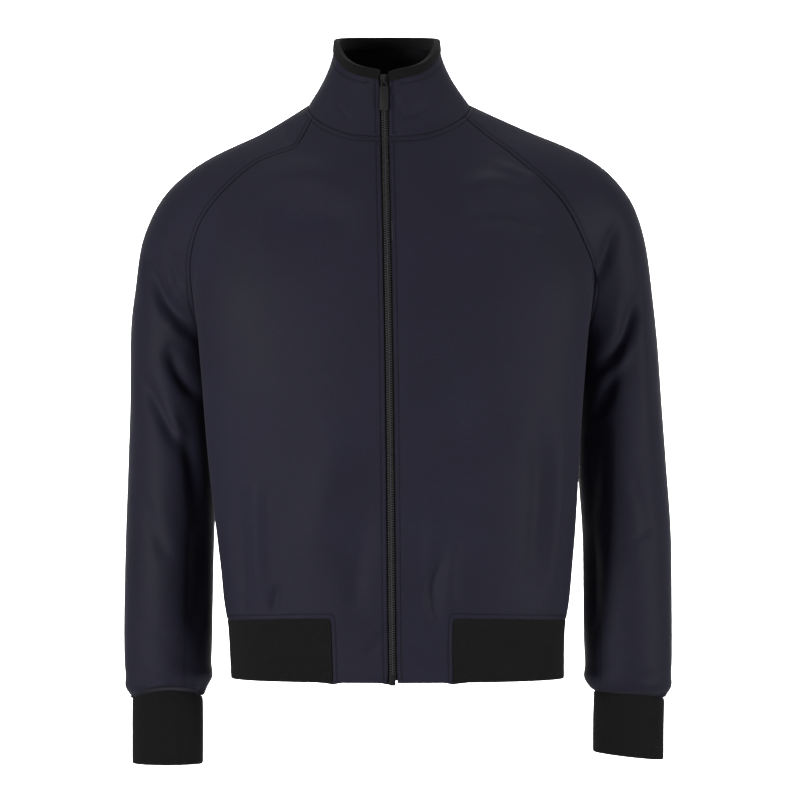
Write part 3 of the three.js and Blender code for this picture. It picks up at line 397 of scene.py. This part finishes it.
def line_piece(piece):
    """Joins a cloth piece with its inner face, and closes the edges between the two."""
    inner, thickness = inner_faces.pop(piece)
    mesh = inner.data
    co = vertex_values(mesh, "co") - vertex_values(mesh, "normal") * thickness
    mesh.vertices.foreach_set("co", co.ravel())
    mesh.flip_normals()
    mark_plain(inner)
    bm = bmesh.new()
    bm.from_mesh(piece.data)
    outer_loops = border_loops(bm)
    outer_edges = {e for loop in outer_loops for e in loop}
    bm.from_mesh(mesh)
    inner_loops = [loop for loop in border_loops(bm) if loop[0] not in outer_edges]
    for loop in outer_loops:
        nearest = min(inner_loops, key=lambda other: (middle_of(other) - middle_of(loop)).length)
        bmesh.ops.bridge_loops(bm, edges=[*loop, *nearest])
    bm.to_mesh(piece.data)
    bm.free()
    bpy.data.objects.remove(inner)
    piece.data.polygons.foreach_set("use_smooth", [True] * len(piece.data.polygons))


BORDER_REACH = 4 * MM
SHORTEST_RUN = 8


def border_runs(piece, *neighbours):
    """The stretches of a piece's border that lie against these CAD nodes, each an ordered list of
    points; the whole border if none is named."""
    trees = [tree_of(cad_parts[n]) for n in neighbours]
    bm = bmesh.new()
    bm.from_mesh(inner_faces[piece][0].data)
    close = set()
    for vert in bm.verts:
        if vert.is_boundary:
            if not trees or any(t.find_nearest(vert.co, BORDER_REACH)[0] for t in trees):
                close.add(vert)
    links = {v: [e.other_vert(v) for e in v.link_edges if e.is_boundary] for v in close}
    runs = []
    left = set(close)
    while left:
        ends = [v for v in left if sum(o in left for o in links[v]) < 2]
        here = min(ends or left, key=lambda v: (v.co.z, v.co.x, v.co.y))
        run = []
        while here:
            left.discard(here)
            run.append(here.co.copy())
            after = next((o for o in links[here] if o in left), None)
            if not after and not ends and len(run) > 2:
                run.append(run[0])
            here = after
        if len(run) > SHORTEST_RUN:
            runs.append(run)
    bm.free()
    return runs


def tree_of(mesh_object):
    """A search tree of an object's faces."""
    mesh = mesh_object.data
    faces = [tuple(p.vertices) for p in mesh.polygons]
    return BVHTree.FromPolygons([v.co for v in mesh.vertices], faces)


def evenly(points, pitch):
    """The same line with points a pitch apart."""
    line = np.array(points)
    steps = np.linalg.norm(np.diff(line, axis=0), axis=1)
    far = np.concatenate([[0], np.cumsum(steps)])
    places = np.arange(0, far[-1], pitch)
    return [Vector([np.interp(s, far, line[:, k]) for k in range(3)]) for s in places]


SEWING_PITCH = 3.4 * MM
TANGENT_SPAN = 3


def sewn_line(piece, run, inset):
    """The line on a piece's surface that runs a given distance inside a stretch of its border."""
    tree = tree_of(inner_faces[piece][0])
    surface = tree_of(piece)
    run = evenly(run, SEWING_PITCH)
    path = []
    for i, point in enumerate(run):
        tangent = run[min(i + TANGENT_SPAN, len(run) - 1)] - run[max(i - TANGENT_SPAN, 0)]
        normal = tree.find_nearest(point)[1]
        across = tangent.cross(normal).normalized()
        options = [tree.find_nearest(point + across * inset * sign) for sign in (-1, 1)]
        place = max(options, key=lambda found: (found[0] - point).length)
        path.append((surface.find_nearest(place[0])[0], place[1]))
    return path


STITCH = {"length": 2.3 * MM, "width": 0.5 * MM, "height": 0.3 * MM, "raised": 0.3}
SHORTEST_STEP = 0.3 * SEWING_PITCH
LONGEST_STEP = 2 * SEWING_PITCH
stitch_places = []


def sew(path):
    """Notes where the stitches of a row lie, along a path of points and normals."""
    for (a, normal), (b, _) in zip(path, path[1:]):
        along = b - a
        if not SHORTEST_STEP < along.length < LONGEST_STEP:
            continue
        along.normalize()
        side = normal.cross(along).normalized()
        turn = Matrix((along, side, along.cross(side))).transposed().to_4x4()
        middle = (a + b) / 2 + normal * STITCH["height"] * STITCH["raised"]
        stitch_places.append(Matrix.Translation(middle) @ turn)


def repeated(name, seed, places):
    """One piece made of a small bmesh repeated at each of these places."""
    one = bpy.data.meshes.new(name + "_one")
    seed.to_mesh(one)
    seed.free()
    bm = bmesh.new()
    for place in places:
        copy = one.copy()
        copy.transform(place)
        bm.from_mesh(copy)
        bpy.data.meshes.remove(copy)
    bpy.data.meshes.remove(one)
    return new_piece(name, bm)


def mark(piece, name, values):
    """Stores one number for each corner point of a piece."""
    layer = piece.data.attributes.new(name, "FLOAT", "POINT")
    layer.data.foreach_set("value", np.asarray(values, np.float32))


FAR_SEWING = 40
GAP_PITCH = 0.7 * MM


def mark_plain(piece):
    """Marks a piece as far from every sewn line and border."""
    for name in ("sewing", "edge"):
        mark(piece, name, [FAR_SEWING] * len(piece.data.vertices))


def gaps_to(runs, places):
    """How far each place is from the nearest of these lines, in mm, and whether it lies beside it and
    not beyond its ends."""
    points = [p for run in runs for p in evenly(run, GAP_PITCH)]
    tree = KDTree(len(points))
    for i, point in enumerate(points):
        tree.insert(point, i)
    tree.balance()
    found = [tree.find(place) for place in places]
    beside = np.array([0 < index < len(points) - 1 for _, index, _ in found])
    return np.array([gap / MM for _, _, gap in found]), beside


def mark_sewing(piece, lines, seams=()):
    """Stores how far each point is from the nearest sewn line, in mm: negative towards the border.
    Each line is a border run and its inset. Seams are further lines that get the same painted shadow line
    as a joined border."""
    co = [v.co for v in piece.data.vertices]
    best = np.full(len(co), float(FAR_SEWING))
    for run, inset in lines:
        gap, beside = gaps_to([run], co)
        gap -= inset / MM
        best = np.where(beside & (np.abs(gap) < np.abs(best)), gap, best)
    mark(piece, "sewing", best)
    mark(piece, "edge", gaps_to([*border_runs(piece), *seams], co)[0])



LOOK_OUTPUTS = [("Color", "Color"), ("Height", "Float"), ("Roughness", "Float")]


def group_of(name, inputs):
    """An empty node group with named inputs (name, kind, default) and the outputs of a look."""
    group = bpy.data.node_groups.new(name, "ShaderNodeTree")
    for label, kind, value in inputs:
        socket = group.interface.new_socket(label, in_out="INPUT", socket_type="NodeSocket" + kind)
        socket.default_value = value
    for label, kind in LOOK_OUTPUTS:
        group.interface.new_socket(label, in_out="OUTPUT", socket_type="NodeSocket" + kind)
    return group, group.nodes.new("NodeGroupInput"), group.nodes.new("NodeGroupOutput")


def fill(tree, socket, value):
    """Sets an input to a value, or links it if the value is an output."""
    if isinstance(value, bpy.types.NodeSocket):
        tree.links.new(value, socket)
    else:
        socket.default_value = value


def node_in(tree, kind, **values):
    """A node with its settings and inputs. A name that ends in a number, such as Value_1, means the
    input with that place."""
    node = tree.nodes.new("ShaderNode" + kind)
    for key, value in values.items():
        if hasattr(node, key):
            setattr(node, key, value)
        else:
            label, _, place = key.partition("_")
            fill(tree, node.inputs[int(place) if place else label], value)
    return node


def place_in(tree):
    return node_in(tree, "TexCoord").outputs["Object"]


def noise(tree, place, scale, detail):
    return node_in(tree, "TexNoise", Vector=place, Scale=scale, Detail=detail).outputs["Fac"]


def bands(tree, place, scale, distortion):
    """Level bands, like the rows of loops in a knitted cloth."""
    shape = {"Scale": scale, "Distortion": distortion, "Detail": 1.0}
    return node_in(tree, "TexWave", bands_direction="Z", Vector=place, **shape).outputs["Fac"]


def calculated(tree, operation, *values):
    inputs = {f"Value_{i}": value for i, value in enumerate(values)}
    return node_in(tree, "Math", operation=operation, **inputs).outputs[0]


def ranged(tree, value, low, high, span=(0.3, 0.7)):
    """A value taken from one span of numbers to another; noise lies mostly within 0.3 to 0.7."""
    node = node_in(tree, "MapRange", Value=value)
    for label, number in zip(("From Min", "From Max", "To Min", "To Max"), (*span, low, high)):
        node.inputs[label].default_value = number
    return node.outputs[0]


def falling(tree, attribute, fall):
    """One on a line and less and less beside it, from a stored distance in mm."""
    gap = node_in(tree, "Attribute", attribute_name=attribute).outputs["Fac"]
    squared = calculated(tree, "POWER", gap, 2.0)
    return calculated(tree, "EXPONENT", calculated(tree, "MULTIPLY", squared, -fall))


def tinted(tree, colour, amount):
    return node_in(tree, "VectorMath", operation="SCALE", Vector_0=colour, Scale=amount).outputs[0]


def give(tree, result, **values):
    """Gives a group its outputs."""
    for label, value in values.items():
        fill(tree, result.inputs[label], value)


LOOP_HEIGHT = 0.07 * MM
COURSE_HEIGHT = 0.02 * MM
GROOVE = {"fall": 0.7, "depth": 0.3 * MM, "shade": 0.3}
SEAM_SHADOW = {"fall": 0.9, "shade": 0.55}


def jersey_group():
    """Smooth double jersey: a very fine grain of loops in rows, slightly uneven dye, a groove along
    each sewn line with painted shade in it, and a painted shadow line along each seam and border. Height
    is in metres."""
    inputs = [("Dye", "Color", (0.02, 0.02, 0.033, 1)), ("Loops per metre", "Float", 900.0)]
    group, given, result = group_of("jersey_cloth", inputs)
    place = place_in(group)
    loops = noise(group, place, given.outputs["Loops per metre"], 2.0)
    rows = bands(group, place, 140.0, 1.5)
    broad = noise(group, place, 9.0, 3.0)
    groove = falling(group, "sewing", GROOVE["fall"])
    seam = falling(group, "edge", SEAM_SHADOW["fall"])
    grain = calculated(group, "MULTIPLY", loops, LOOP_HEIGHT)
    courses = calculated(group, "MULTIPLY_ADD", rows, COURSE_HEIGHT, grain)
    height = calculated(group, "MULTIPLY_ADD", groove, -GROOVE["depth"], courses)
    dyed = ranged(group, broad, 0.9, 1.1)
    # painted shadow: the colour is darkened along every border and seam, where shade falls into the join
    seamed = calculated(group, "MULTIPLY_ADD", seam, -SEAM_SHADOW["shade"], dyed)
    # painted shade: the colour is darkened in the groove along each sewn line
    sunk = calculated(group, "MULTIPLY_ADD", groove, -GROOVE["shade"], seamed)
    shade = calculated(group, "MULTIPLY", sunk, ranged(group, loops, 0.88, 1.12))
    colour = tinted(group, given.outputs["Dye"], shade)
    give(group, result, Color=colour, Height=height, Roughness=ranged(group, broad, 0.62, 0.72))
    return group


def material(name, group, settings, principled):
    """A material whose colour, roughness and bump come from a node group; the rest are constants."""
    made = bpy.data.materials.new(name)
    made.use_nodes = True
    tree = made.node_tree
    tree.nodes.clear()
    look = tree.nodes.new("ShaderNodeGroup")
    look.node_tree = group
    for key, value in settings.items():
        look.inputs[key].default_value = value
    shader = node_in(tree, "BsdfPrincipled")
    for key, value in principled.items():
        shader.inputs[key].default_value = value
    bump = node_in(tree, "Bump", Height=look.outputs["Height"], Strength=1.0, Distance=1.0)
    tree.links.new(look.outputs["Color"], shader.inputs["Base Color"])
    tree.links.new(look.outputs["Roughness"], shader.inputs["Roughness"])
    tree.links.new(bump.outputs[0], shader.inputs["Normal"])
    node_in(tree, "OutputMaterial", Surface=shader.outputs[0])
    return made


NAVY = (0.0112, 0.0108, 0.0205, 1)
jersey_look = jersey_group()
CLOTH_SHEEN = {"Sheen Weight": 0.05, "Sheen Roughness": 0.4, "Specular IOR Level": 0.1}
jersey = material("navy_jersey", jersey_look, {"Dye": NAVY}, CLOTH_SHEEN)

TOPSTITCH = 5 * MM
ZIP_TOPSTITCH = 4.8 * MM


def finish_cloth(piece, look, slot, nodes, flat, area, rests_on):
    """Gives a cloth piece its inner face, look and place in the jacket."""
    if "edge" not in piece.data.attributes:
        mark_sewing(piece, [])
    line_piece(piece)
    piece.data.materials.clear()
    piece.data.materials.append(look)
    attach(piece, "jacket")
    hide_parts(*nodes)


def sewn(piece, *stretches, seams=()):
    """Sews the stretches of a piece's border along these nodes, each (nodes, inset), and marks them."""
    lines = []
    for nodes, inset in stretches:
        for run in border_runs(piece, *nodes):
            sew(sewn_line(piece, run, inset))
            lines.append((run, inset))
    mark_sewing(piece, lines, seams)


HALVES = ("right", "left")
back = cloth_piece("back", "jersey_back", JERSEY)
sewn(back, (["collar"], TOPSTITCH), (["hem_band"], TOPSTITCH))
finish_cloth(back, jersey, "navy_jersey", ["back"], flat=(0.5, 0.6), area=0.236, rests_on=["collar"])
for half in HALVES:
    node = "front_" + half
    piece = cloth_piece(node, "jersey_" + node, JERSEY)
    zip_side = ["zip_tape_" + half]
    sewn(piece, (["collar"], TOPSTITCH), (["hem_band"], TOPSTITCH), (zip_side, ZIP_TOPSTITCH))
    size = {"flat": (0.25, 0.68), "area": 0.144}
    finish_cloth(piece, jersey, "navy_jersey", [node], rests_on=["collar"], **size)

# Sleeves
# Each raglan sleeve runs up to the neck in one piece, and closes in a seam under the arm. It goes on
# after the fronts and back, and its seam allowance is topstitched down on the sleeve's side.

# the part of the underarm seam that shows from the front, in mm (x, drop); it is drawn only as a painted
# shadow line
UNDERARM = {
    "right": [(-232, 520), (-234, 570), (-235, 610), (-235, 659)],
    "left": [(229, 450), (231, 507), (232, 580), (232, 659)],
}


def drawn_on(piece, points):
    """A line drawn on the front of a piece, through points (x, drop) in mm."""
    tree = tree_of(piece)
    hits = []
    for x, drop in curve_points(points, CREASE_STEPS) * MM:
        place = tree.ray_cast(Vector((x, -1, -drop)), Vector((0, 1, 0)))[0]
        if place:
            hits.append(place)
    return hits


for half in HALVES:
    node = "sleeve_" + half
    piece = cloth_piece(node, "jersey_" + node, JERSEY)
    body = ["front_" + half, "back"]
    underarm = [drawn_on(piece, UNDERARM[half])]
    ends = (["collar"], TOPSTITCH), (["cuff_" + half], TOPSTITCH)
    sewn(piece, (body, TOPSTITCH), *ends, seams=underarm)
    size = {"flat": (0.42, 0.72), "area": 0.216}
    finish_cloth(piece, jersey, "navy_jersey", [node], rests_on=["collar", *body], **size)

# Knit cuffs and hem band
# The cuffs and hem band are black fine-gauge knit, doubled over on itself. Each one's free edge is a
# soft fold, and the sleeves and body are sewn to the other.

KNIT = 2.2 * MM
KNIT_LEVELS = 2
RIB_PITCH = 1.9 * MM
RIB_HEIGHT = 0.1 * MM
ROW_HEIGHT = 0.1 * MM
FUZZ_HEIGHT = 0.1 * MM


def knit_group():
    """Fine knit: narrow upright ribs with rows of loops, and painted shade in the rib hollows. Height is
    in metres.
    """
    inputs = [
        ("Yarn", "Color", (0.008, 0.008, 0.01, 1)),
        ("Middle", "Vector", (0, 0, 0)),
        ("Width over depth", "Float", 1.0),
        ("Ribs", "Float", 100.0),
        ("Rib height", "Float", RIB_HEIGHT),
    ]
    group, given, result = group_of("rib_knit", inputs)
    ask = given.outputs
    place = place_in(group)
    out = node_in(group, "VectorMath", operation="SUBTRACT", Vector_0=place, Vector_1=ask["Middle"])
    apart = node_in(group, "SeparateXYZ", Vector=out.outputs[0]).outputs
    deep = calculated(group, "MULTIPLY", apart["Y"], ask["Width over depth"])
    around = calculated(group, "ARCTAN2", deep, apart["X"])
    ribs = calculated(group, "SINE", calculated(group, "MULTIPLY", around, ask["Ribs"]))
    rows = bands(group, place, 110.0, 2.0)
    fuzz = noise(group, place, 1100.0, 2.0)
    high = calculated(group, "MULTIPLY", ribs, ask["Rib height"])
    loops = calculated(group, "MULTIPLY_ADD", rows, ROW_HEIGHT, high)
    height = calculated(group, "MULTIPLY_ADD", fuzz, FUZZ_HEIGHT, loops)
    # painted shade and light: darker in the rib hollows, lighter on the rib crests
    shade = ranged(group, ribs, 0.88, 1.08, span=(-1.0, 1.0))
    both = calculated(group, "MULTIPLY", shade, ranged(group, fuzz, 0.8, 1.2))
    give(group, result, Color=tinted(group, ask["Yarn"], both), Height=height, Roughness=0.85)
    return group


knit_look = knit_group()
BLACK_YARN = (0.0052, 0.0052, 0.0056, 1)
KNIT_SHEEN = {"Sheen Weight": 0.03, "Specular IOR Level": 0.08}


def knit_material(node):
    """Black rib for a ring of knit, with a whole number of ribs round it."""
    low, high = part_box(node)
    wide, deep = high.x - low.x, high.y - low.y
    girth = math.pi * (wide + deep) / 2
    settings = {
        "Yarn": BLACK_YARN,
        "Middle": tuple((low + high) / 2),
        "Width over depth": wide / deep,
        "Ribs": round(girth / RIB_PITCH),
    }
    return material("black_knit_" + node, knit_look, settings, KNIT_SHEEN)


for half in HALVES:
    node = "cuff_" + half
    cuff = cloth_piece(node, "knit_" + node, KNIT, levels=KNIT_LEVELS)
    size = {"flat": (0.215, 0.081), "area": 0.0165}
    finish_cloth(cuff, knit_material(node), "black_knit", [node], rests_on=["sleeve_" + half], **size)
band = cloth_piece("hem_band", "knit_hem_band", KNIT, levels=KNIT_LEVELS)
size = {"flat": (0.8, 0.071), "area": 0.0562, "rests_on": ["back", "front_right", "front_left"]}
finish_cloth(band, knit_material("hem_band"), "black_knit", ["hem_band"], **size)

# Collar
# The stand collar is one layer of the jersey outside and a thinner black lining inside. Its top edge is
# bound with a strip of knit folded over both.

COLLAR_CLOTH = 1.2 * MM
TRIM_TOPSTITCH = 16 * MM
collar = cloth_piece("collar", "jersey_collar", COLLAR_CLOTH, allowance=-TURNED)
sewn(collar, (["zip_tape_right", "zip_tape_left"], ZIP_TOPSTITCH), (["collar_trim"], TRIM_TOPSTITCH))
size = {"flat": (0.42, 0.11), "area": 0.034}
finish_cloth(collar, jersey, "navy_jersey", ["collar"], rests_on=["collar_lining"], **size)

SHARP = math.radians(35)
LINING_EDGE = 0.25 * MM
TRIM_EDGE = 0.35 * MM


def rounded_copy(node, name, width, levels, quads=True):
    """A CAD node copied with its sharp edges rounded, and smoothed."""
    bm = merged_copy(node)
    if quads:
        pair_triangles(bm)
    sharp = [e for e in bm.edges if len(e.link_faces) == 2 and e.calc_face_angle(0) > SHARP]
    bmesh.ops.bevel(
        bm,
        geom=sharp,
        offset=width,
        affect="EDGES",
        segments=2,
        profile=0.5,
        material=-1,
        clamp_overlap=True,
    )
    piece = new_piece(name, bm)
    if levels:
        smooth(piece, levels)
    return piece


def place_piece(piece, look, nodes, body="jacket"):
    """Gives a piece its look and its place on a body."""
    piece.data.materials.clear()
    piece.data.materials.append(look)
    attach(piece, body)
    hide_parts(*nodes)


def press_back(piece):
    """Moves a piece behind the cloth in or out with the creases of that cloth."""
    co = vertex_values(piece.data, "co")
    towards = np.zeros_like(co)
    towards[:, 1] = np.where(co[:, 1] < BODY_LINE[1], -1, 1)
    co -= towards * crease_depths(co, towards)[:, None]
    piece.data.vertices.foreach_set("co", co.ravel())


BLACK_LINING = (0.0018, 0.0018, 0.0032, 1)
lining_look = material("black_lining", jersey_look, {"Dye": BLACK_LINING}, {"Specular IOR Level": 0.15})
lining = rounded_copy("collar_lining", "collar_lining_cloth", LINING_EDGE, 1)
mark_plain(lining)
press_back(lining)
place_piece(lining, lining_look, ["collar_lining"])
trim = rounded_copy("collar_trim", "knit_collar_trim", TRIM_EDGE, 1)
place_piece(trim, knit_material("collar_trim"), ["collar_trim"])

# Zip
# A moulded-tooth zip on woven tape, with its slider at the top, a flat pull tab hanging from the
# slider's loop, and the box at the hem.

BLACK_TAPE = (0.004, 0.004, 0.0052, 1)
TAPE_EDGE = 0.15 * MM
CORE_EDGE = 0.15 * MM
METAL_EDGE = 0.3 * MM
MOTTLE_HEIGHT = 0.02 * MM
tape_look = material("zip_tape", jersey_look, {"Dye": BLACK_TAPE}, {"Specular IOR Level": 0.2})
for half in HALVES:
    tape = rounded_copy("zip_tape_" + half, "woven_tape_" + half, TAPE_EDGE, 0)
    mark_plain(tape)
    place_piece(tape, tape_look, ["zip_tape_" + half])


def moulded_group():
    """Moulded plastic or painted metal: a smooth skin with faint mottling."""
    inputs = [("Paint", "Color", (0.012, 0.012, 0.014, 1)), ("Polish", "Float", 0.4)]
    group, given, result = group_of("moulded", inputs)
    mottle = noise(group, place_in(group), 500.0, 3.0)
    height = calculated(group, "MULTIPLY", mottle, MOTTLE_HEIGHT)
    shade = ranged(group, mottle, 0.85, 1.15)
    colour = tinted(group, given.outputs["Paint"], shade)
    rough = calculated(group, "MULTIPLY", given.outputs["Polish"], shade)
    give(group, result, Color=colour, Height=height, Roughness=rough)
    return group


moulded = moulded_group()
TEETH_PAINT = {"Paint": (0.0095, 0.0095, 0.011, 1), "Polish": 0.5}
BOX_PAINT = {"Paint": (0.006, 0.006, 0.007, 1), "Polish": 0.6}
METAL_PAINT = {"Paint": (0.008, 0.008, 0.009, 1), "Polish": 0.62}
teeth_look = material("zip_plastic", moulded, TEETH_PAINT, {})
box_look = material("zip_box", moulded, BOX_PAINT, {"Specular IOR Level": 0.15})
metal_look = material("zip_metal", moulded, METAL_PAINT, {"Specular IOR Level": 0.2})

TOOTH_PITCH = 1.35 * MM
TOOTH = {
    "length": 3.9 * MM,
    "width": 0.95 * MM,
    "height": 1.35 * MM,
    "head": 1.3,
    "middle": 1.45 * MM,
    "sunk": 0.35,
    "edge": 0.22 * MM,
}

# in mm: where the teeth start below the slider's top, how finely their line is followed and over what
# stretch it is kept straight, and how far it runs on into the box
FIRST_TOOTH = 0.8
LINE_STEP = 0.5
STRAIGHT = 60
INTO_BOX = 8.5
SLOPE_POINTS = 20
CORE_SET_BACK = 0.5 * MM
CORE_DROP = 1.6 * MM


def zip_line():
    """Points along the middle of the zip on the face of its teeth, with normals, from the top down into
    the box."""
    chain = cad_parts["zip_chain"]
    tree = tree_of(chain)
    co = vertex_values(chain.data, "co")
    low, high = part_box("zip_chain")
    found = []
    for z in np.arange(high.z - FIRST_TOOTH * MM, low.z, -LINE_STEP * MM):
        near = co[np.abs(co[:, 2] - z) < STRAIGHT * MM]
        slope, start = np.polyfit(near[:, 2], near[:, 0], 1)
        place, normal, _, _ = tree.ray_cast(Vector((start + slope * z, -1, z)), Vector((0, 1, 0)))
        if place:
            found.append((place, normal))
    last, normal = found[-1]
    down = (last - found[-SLOPE_POINTS][0]).normalized()
    found += [(last + down * far, normal) for far in np.arange(LINE_STEP, INTO_BOX, LINE_STEP) * MM]
    return found


def tooth():
    """One tooth with a wider head at its inner end, which reaches past the middle of the zip."""
    bm = bmesh.new()
    size = Matrix.Diagonal((TOOTH["length"], TOOTH["width"], TOOTH["height"], 1))
    bmesh.ops.create_cube(bm, size=1, matrix=size)
    for vert in bm.verts:
        if vert.co.x < 0:
            vert.co.y *= TOOTH["head"]
    bmesh.ops.translate(bm, verts=bm.verts, vec=(TOOTH["middle"], 0, -TOOTH["height"] * TOOTH["sunk"]))
    bmesh.ops.bevel(
        bm, geom=bm.edges[:], offset=TOOTH["edge"], affect="EDGES", segments=1, profile=0.5, material=-1
    )
    return bm


line = zip_line()
places = evenly([p for p, _ in line], TOOTH_PITCH)
line_points = np.array([p for p, _ in line])
tooth_places = []
for i in range(1, len(places) - 1):
    nearest = np.argmin(np.linalg.norm(line_points - np.array(places[i]), axis=1))
    normal = line[int(nearest)][1]
    down = (places[i + 1] - places[i - 1]).normalized()
    across = normal.cross(down).normalized() * (1 if i % 2 else -1)
    turn = Matrix((across, normal.cross(across), normal)).transposed().to_4x4()
    tooth_places.append(Matrix.Translation(places[i]) @ turn)
teeth = repeated("zip_teeth", tooth(), tooth_places)
place_piece(teeth, teeth_look, ["zip_chain"])

core = rounded_copy("zip_chain", "zip_core", CORE_EDGE, 0)
core.data.transform(Matrix.Translation((0, CORE_SET_BACK, -CORE_DROP)))
core.data.materials.clear()
core.data.materials.append(box_look)
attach(core, "jacket")

slider = rounded_copy("zip_slider", "zip_slider_body", METAL_EDGE, 0, quads=False)
place_piece(slider, metal_look, ["zip_slider"])
pull = rounded_copy("zip_pull", "zip_pull_tab", METAL_EDGE, 0, quads=False)
place_piece(pull, metal_look, ["zip_pull"], "pull")
stop = rounded_copy("zip_box", "zip_end_box", METAL_EDGE, 0, quads=False)
place_piece(stop, box_look, ["zip_box"])

# Topstitching
# Thread nearly of the cloth's own colour, in even stitches beside each seam, at the zip and along the
# collar's binding. It is sewn last.

THREAD = (0.0062, 0.006, 0.0108, 1)
thread_look = material("thread", jersey_look, {"Dye": THREAD}, {"Specular IOR Level": 0.08})
bm = bmesh.new()
size = Matrix.Diagonal((STITCH["length"] / 2, STITCH["width"] / 2, STITCH["height"] / 2, 1))
bmesh.ops.create_uvsphere(bm, u_segments=6, v_segments=4, radius=1, matrix=size)
thread = repeated("topstitching", bm, stitch_places)
mark_plain(thread)
thread.data.materials.append(thread_look)
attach(thread, "jacket")

# Studio
# A pale floor and sweep, lit softly from the front, above and behind. The jacket hangs over the floor
# and is seen straight from the front.

WHITE = (0.9, 0.9, 0.9, 1)
PAPER_GRAIN = 0.05 * MM


def sweep_group():
    """Matt paper: even, with the faintest grain."""
    group, given, result = group_of("paper", [("Paper", "Color", WHITE)])
    grain = noise(group, place_in(group), 300.0, 2.0)
    height = calculated(group, "MULTIPLY", grain, PAPER_GRAIN)
    give(group, result, Color=given.outputs["Paper"], Height=height, Roughness=0.9)
    return group


FLOOR_DROP = 1.25
FLOOR_FRONT = -5.5
WALL_PLACE = 6.2
SWEEP_LENGTH = 14
HALF_WIDTH = 8
BEND_LENGTH = 1.6
WALL_STRETCH = 8
flat = WALL_PLACE - FLOOR_FRONT
bm = bmesh.new()
bmesh.ops.create_grid(bm, x_segments=2, y_segments=40, size=1)
for vert in bm.verts:
    along = (vert.co.y + 1) / 2 * SWEEP_LENGTH
    vert.co.x *= HALF_WIDTH
    if along < flat:
        vert.co.y = along + FLOOR_FRONT
        vert.co.z = -FLOOR_DROP
    else:
        turn = min(1, (along - flat) / BEND_LENGTH) * math.pi / 2
        vert.co.y = WALL_PLACE + math.sin(turn)
        above = max(0, along - flat - BEND_LENGTH) * WALL_STRETCH
        vert.co.z = -FLOOR_DROP + 1 - math.cos(turn) + above
floor = new_piece("paper_sweep", bm)
floor.data.materials.append(material("paper", sweep_group(), {}, {"Specular IOR Level": 0.1}))

CAMERA = (0.00675, -4.5, -0.3285)
LENS = 180
FILM = 36
eye = bpy.data.cameras.new("camera")
eye.lens = LENS
eye.sensor_width = FILM
camera = bpy.data.objects.new("camera", eye)
camera.location = CAMERA
camera.rotation_euler = (math.pi / 2, 0, 0)
bpy.context.scene.collection.objects.link(camera)
bpy.context.scene.camera = camera


def add_light(name, place, aim, size, power, spread=180):
    """An oblong soft light at a place, turned towards its aim."""
    lamp = bpy.data.lights.new(name, "AREA")
    lamp.shape = "RECTANGLE"
    lamp.size, lamp.size_y = size
    lamp.energy = power
    lamp.spread = math.radians(spread)
    light = bpy.data.objects.new(name, lamp)
    light.location = place
    light.rotation_euler = (Vector(aim) - Vector(place)).to_track_quat("-Z", "Y").to_euler()
    bpy.context.scene.collection.objects.link(light)


add_light("key", place=(-2.4, -2.3, -0.3), aim=(0, 0, -0.4), size=(1.0, 1.2), power=11, spread=50)
add_light("fill", place=(3.2, -1.5, -0.35), aim=(0, 0, -0.4), size=(0.9, 1.6), power=9.5, spread=50)
add_light("top", place=(0, 0.3, 2.2), aim=(0, 0, -0.2), size=(2.4, 1.0), power=38)
for side, x in (("left", -1), ("right", 1)):
    aim = (0.6 * x, 7.2, -0.5)
    add_light("backdrop_" + side, place=(1.8 * x, 4.6, 0.6), aim=aim, size=(1.6, 2.0), power=280)
WORLD_STRENGTH = 0.19
world = bpy.data.worlds.new("studio")
world.use_nodes = True
background = world.node_tree.nodes["Background"]
background.inputs["Color"].default_value = (1, 1, 1, 1)
background.inputs["Strength"].default_value = WORLD_STRENGTH
bpy.context.scene.world = world
bpy.context.scene.view_settings.view_transform = "Standard"
